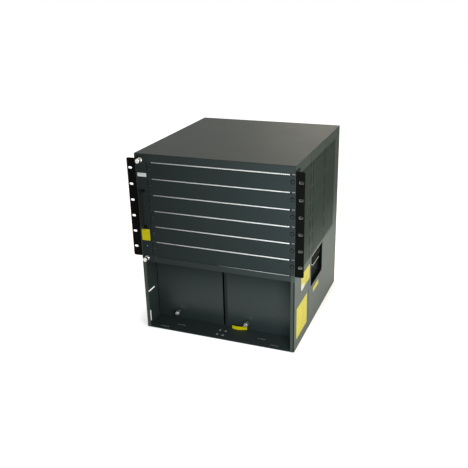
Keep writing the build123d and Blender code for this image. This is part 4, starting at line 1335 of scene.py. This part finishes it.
# Each call gives the field's two ends along the face and its lower and upper edge, in metres.
front_label("label_tray_white", -0.2115, -0.1855, 0.4495, 0.4595, white_vinyl)
front_label("label_tray_yellow", -0.2122, -0.1875, 0.2695, 0.3020, yellow_vinyl)
side_label("label_side_upper", 0.062, 0.145, 0.154, 0.197, yellow_vinyl)
side_label("label_side_white", 0.065, 0.092, 0.152, 0.166, white_vinyl, lift=LABEL_THICK)
side_label("label_side_lower", 0.022, 0.122, 0.029, 0.119, yellow_vinyl)
side_label("label_side_small", 0.187, 0.245, 0.091, 0.105, yellow_vinyl)

# %% [markdown]
# ## Contact pads and painted jamb shade
# At the right end of each slot gap a short bare patch of the side flange shows, where the plates make contact with
# the shell. Down the bay's right jamb a dark strip beside the fold is painted shade. Both are as thin as the
# labels, so the same rounded field makes them.

# %% Pads and painted jamb shade
FLANGE_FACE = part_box("right_side_wall")[0].y
PAD_START, PAD_END = 0.2088, 0.2163
PAD_HALF = 0.0011
JAMB_SHADE_START, JAMB_SHADE_END = 0.2148, 0.2182
JAMB_LOW, JAMB_HIGH = 0.003, 0.2055

flange_field = partial(front_label, face=FLANGE_FACE, body="chassis")
for number in SLOTS:
    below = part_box(f"slot_filler_{number}")[1].z
    middle = below + strip_size.z / 2
    pad_name = f"contact_pad_{number}"
    flange_field(pad_name, PAD_START, PAD_END, middle - PAD_HALF, middle + PAD_HALF, dull_steel)
# A dark strip beside the fold of the right jamb: painted shade.
flange_field("jamb_painted_shade", JAMB_SHADE_START, JAMB_SHADE_END, JAMB_LOW, JAMB_HIGH, dark_screw)

# %% [markdown]
# ## The tag in the power bay
# A yellow tag is tied to the right thumbscrew. It is a narrow strip of soft plastic that stands on its long
# edge on the bay floor, waves a little, and rises at its right end to the screw's collar. Each station gives
# a place along the strip with its depth and its lower and upper edge, and one skin joins the stations.

# %% Tag
# Place along the strip, depth, lower edge and upper edge of each station, in metres.
TAG_STATIONS = (
    (0.0190, -0.1672, 0.0030, 0.0124),
    (0.0250, -0.1682, 0.0026, 0.0126),
    (0.0330, -0.1690, 0.0024, 0.0124),
    (0.0420, -0.1684, 0.0026, 0.0126),
    (0.0500, -0.1674, 0.0034, 0.0132),
    (0.0550, -0.1668, 0.0040, 0.0160),
    (0.0590, -0.1664, 0.0046, 0.0190),
    (0.0630, -0.1662, 0.0060, 0.0192),
)
TAG_THICK = 0.0007

tag_rings = []
for x, y, bottom, top in TAG_STATIONS:
    tag_corners = ((y, bottom), (y + TAG_THICK, bottom), (y + TAG_THICK, top), (y, top))
    tag_rings.append([(x, depth, height) for depth, height in tag_corners])
piece("bay_tag", [skin(tag_rings, yellow_vinyl)], "chassis")

# %% [markdown]
# ## Floor, world and lamps
# The chassis stands on a plain white floor under soft studio light. The floor and the world show as white to the
# camera and to mirror rays through Light Path, and the floor still takes the lamps' shadows. Near the chassis its
# white glow is dimmed by ambient occlusion, which is a painted contact shadow. A wide lamp overhead lights the lid
# and one behind gives it a sheen. A small cool lamp lifts the right of the front and a low one grazes the foot of
# the right side. The rest of the front stays in half shade, so it is darker than the top and the side.

# %% Floor and world
FLOOR_HALF = 6.0
FLOOR_DROP = 0.0006
FLOOR_GREY = 0.42
FLOOR_ROUGHNESS = 0.9
SHADE_REACH = 0.08
SHADE_SAMPLES = 8
AMBIENT = 0.06
WHITE = (1, 1, 1, 1)


def seen_directly(tree):
    """One for camera, mirror and transmission rays, and zero for the rest."""
    path = put(tree, "ShaderNodeLightPath").outputs
    mirrored = sum_up(tree, "MAXIMUM", path["Is Glossy Ray"], path["Is Transmission Ray"])
    return sum_up(tree, "MAXIMUM", path["Is Camera Ray"], mirrored)


floor_paper = bpy.data.materials.new("floor_paper")
floor_paper.use_nodes = True
paper_tree = floor_paper.node_tree
# Ambient occlusion dims the floor's white glow near the chassis: a painted contact shadow.
contact_shadow = put(paper_tree, "ShaderNodeAmbientOcclusion", {"Distance": SHADE_REACH}, samples=SHADE_SAMPLES)
fill(paper_tree, shader_of(floor_paper), {
    "Base Color": (FLOOR_GREY, FLOOR_GREY, FLOOR_GREY, 1),
    "Roughness": FLOOR_ROUGHNESS,
    "Specular IOR Level": 0.0,
    "Emission Color": WHITE,
    "Emission Strength": sum_up(paper_tree, "MULTIPLY", seen_directly(paper_tree), contact_shadow.outputs["AO"]),
})

floor_mesh = bpy.data.meshes.new("floor")
floor_signs = ((-1, -1), (1, -1), (1, 1), (-1, 1))
floor_corners = [(x * FLOOR_HALF, y * FLOOR_HALF, -FLOOR_DROP) for x, y in floor_signs]
floor_mesh.from_pydata(floor_corners, [], [(0, 1, 2, 3)])
floor_mesh.materials.append(floor_paper)
floor = new_object("floor", floor_mesh)

world = bpy.data.worlds.new("studio")
scene.world = world
world.use_nodes = True
sky_tree = world.node_tree
sky_strength = ramp(sky_tree, seen_directly(sky_tree), low=AMBIENT)
fill(sky_tree, sky_tree.nodes["Background"], {"Color": WHITE, "Strength": sky_strength})
print("floor grey", FLOOR_GREY, "ambient", AMBIENT)

# %% Lamps
LAMPS = {
    "overhead": {
        "place": (0.6, 0.4, 2.2),
        "aim": (0.1, 0, 0.4),
        "size": (1.2, 1.2),
        "power": 42.0,
        "colour": (1.0, 0.86, 0.66),
    },
    "back_sheen": {
        "place": (-0.2, 2.6, 1.15),
        "aim": (0.1, 0, 0.5),
        "size": (1.0, 0.7),
        "power": 9.0,
        "colour": (1.0, 0.90, 0.75),
    },
    "front_right": {
        "place": (0.36, -0.63, 0.40),
        "aim": (0.02, -0.23, 0.31),
        "size": (0.3, 0.6),
        "power": 4.8,
        "colour": (0.92, 1.0, 1.03),
    },
    "right_low": {
        "place": (0.56, 0.10, 0.04),
        "aim": (0.2, 0.05, 0.06),
        "size": (0.9, 0.08),
        "power": 0.6,
        "colour": (0.97, 1.0, 0.98),
    },
}


def soft_lamp(name, place, aim, size, power, colour):
    """A rectangular area lamp that faces a point."""
    lamp = new_object(name, bpy.data.lights.new(name, "AREA"))
    lamp.data.shape = "RECTANGLE"
    lamp.data.size, lamp.data.size_y = size
    lamp.data.energy = power
    lamp.data.color = colour
    lamp.location = place
    lamp.rotation_euler = (Vector(aim) - Vector(place)).to_track_quat("-Z", "Y").to_euler()
    lamp.visible_camera = False


for name, settings in LAMPS.items():
    soft_lamp(name, **settings)
print("lamps", list(LAMPS))
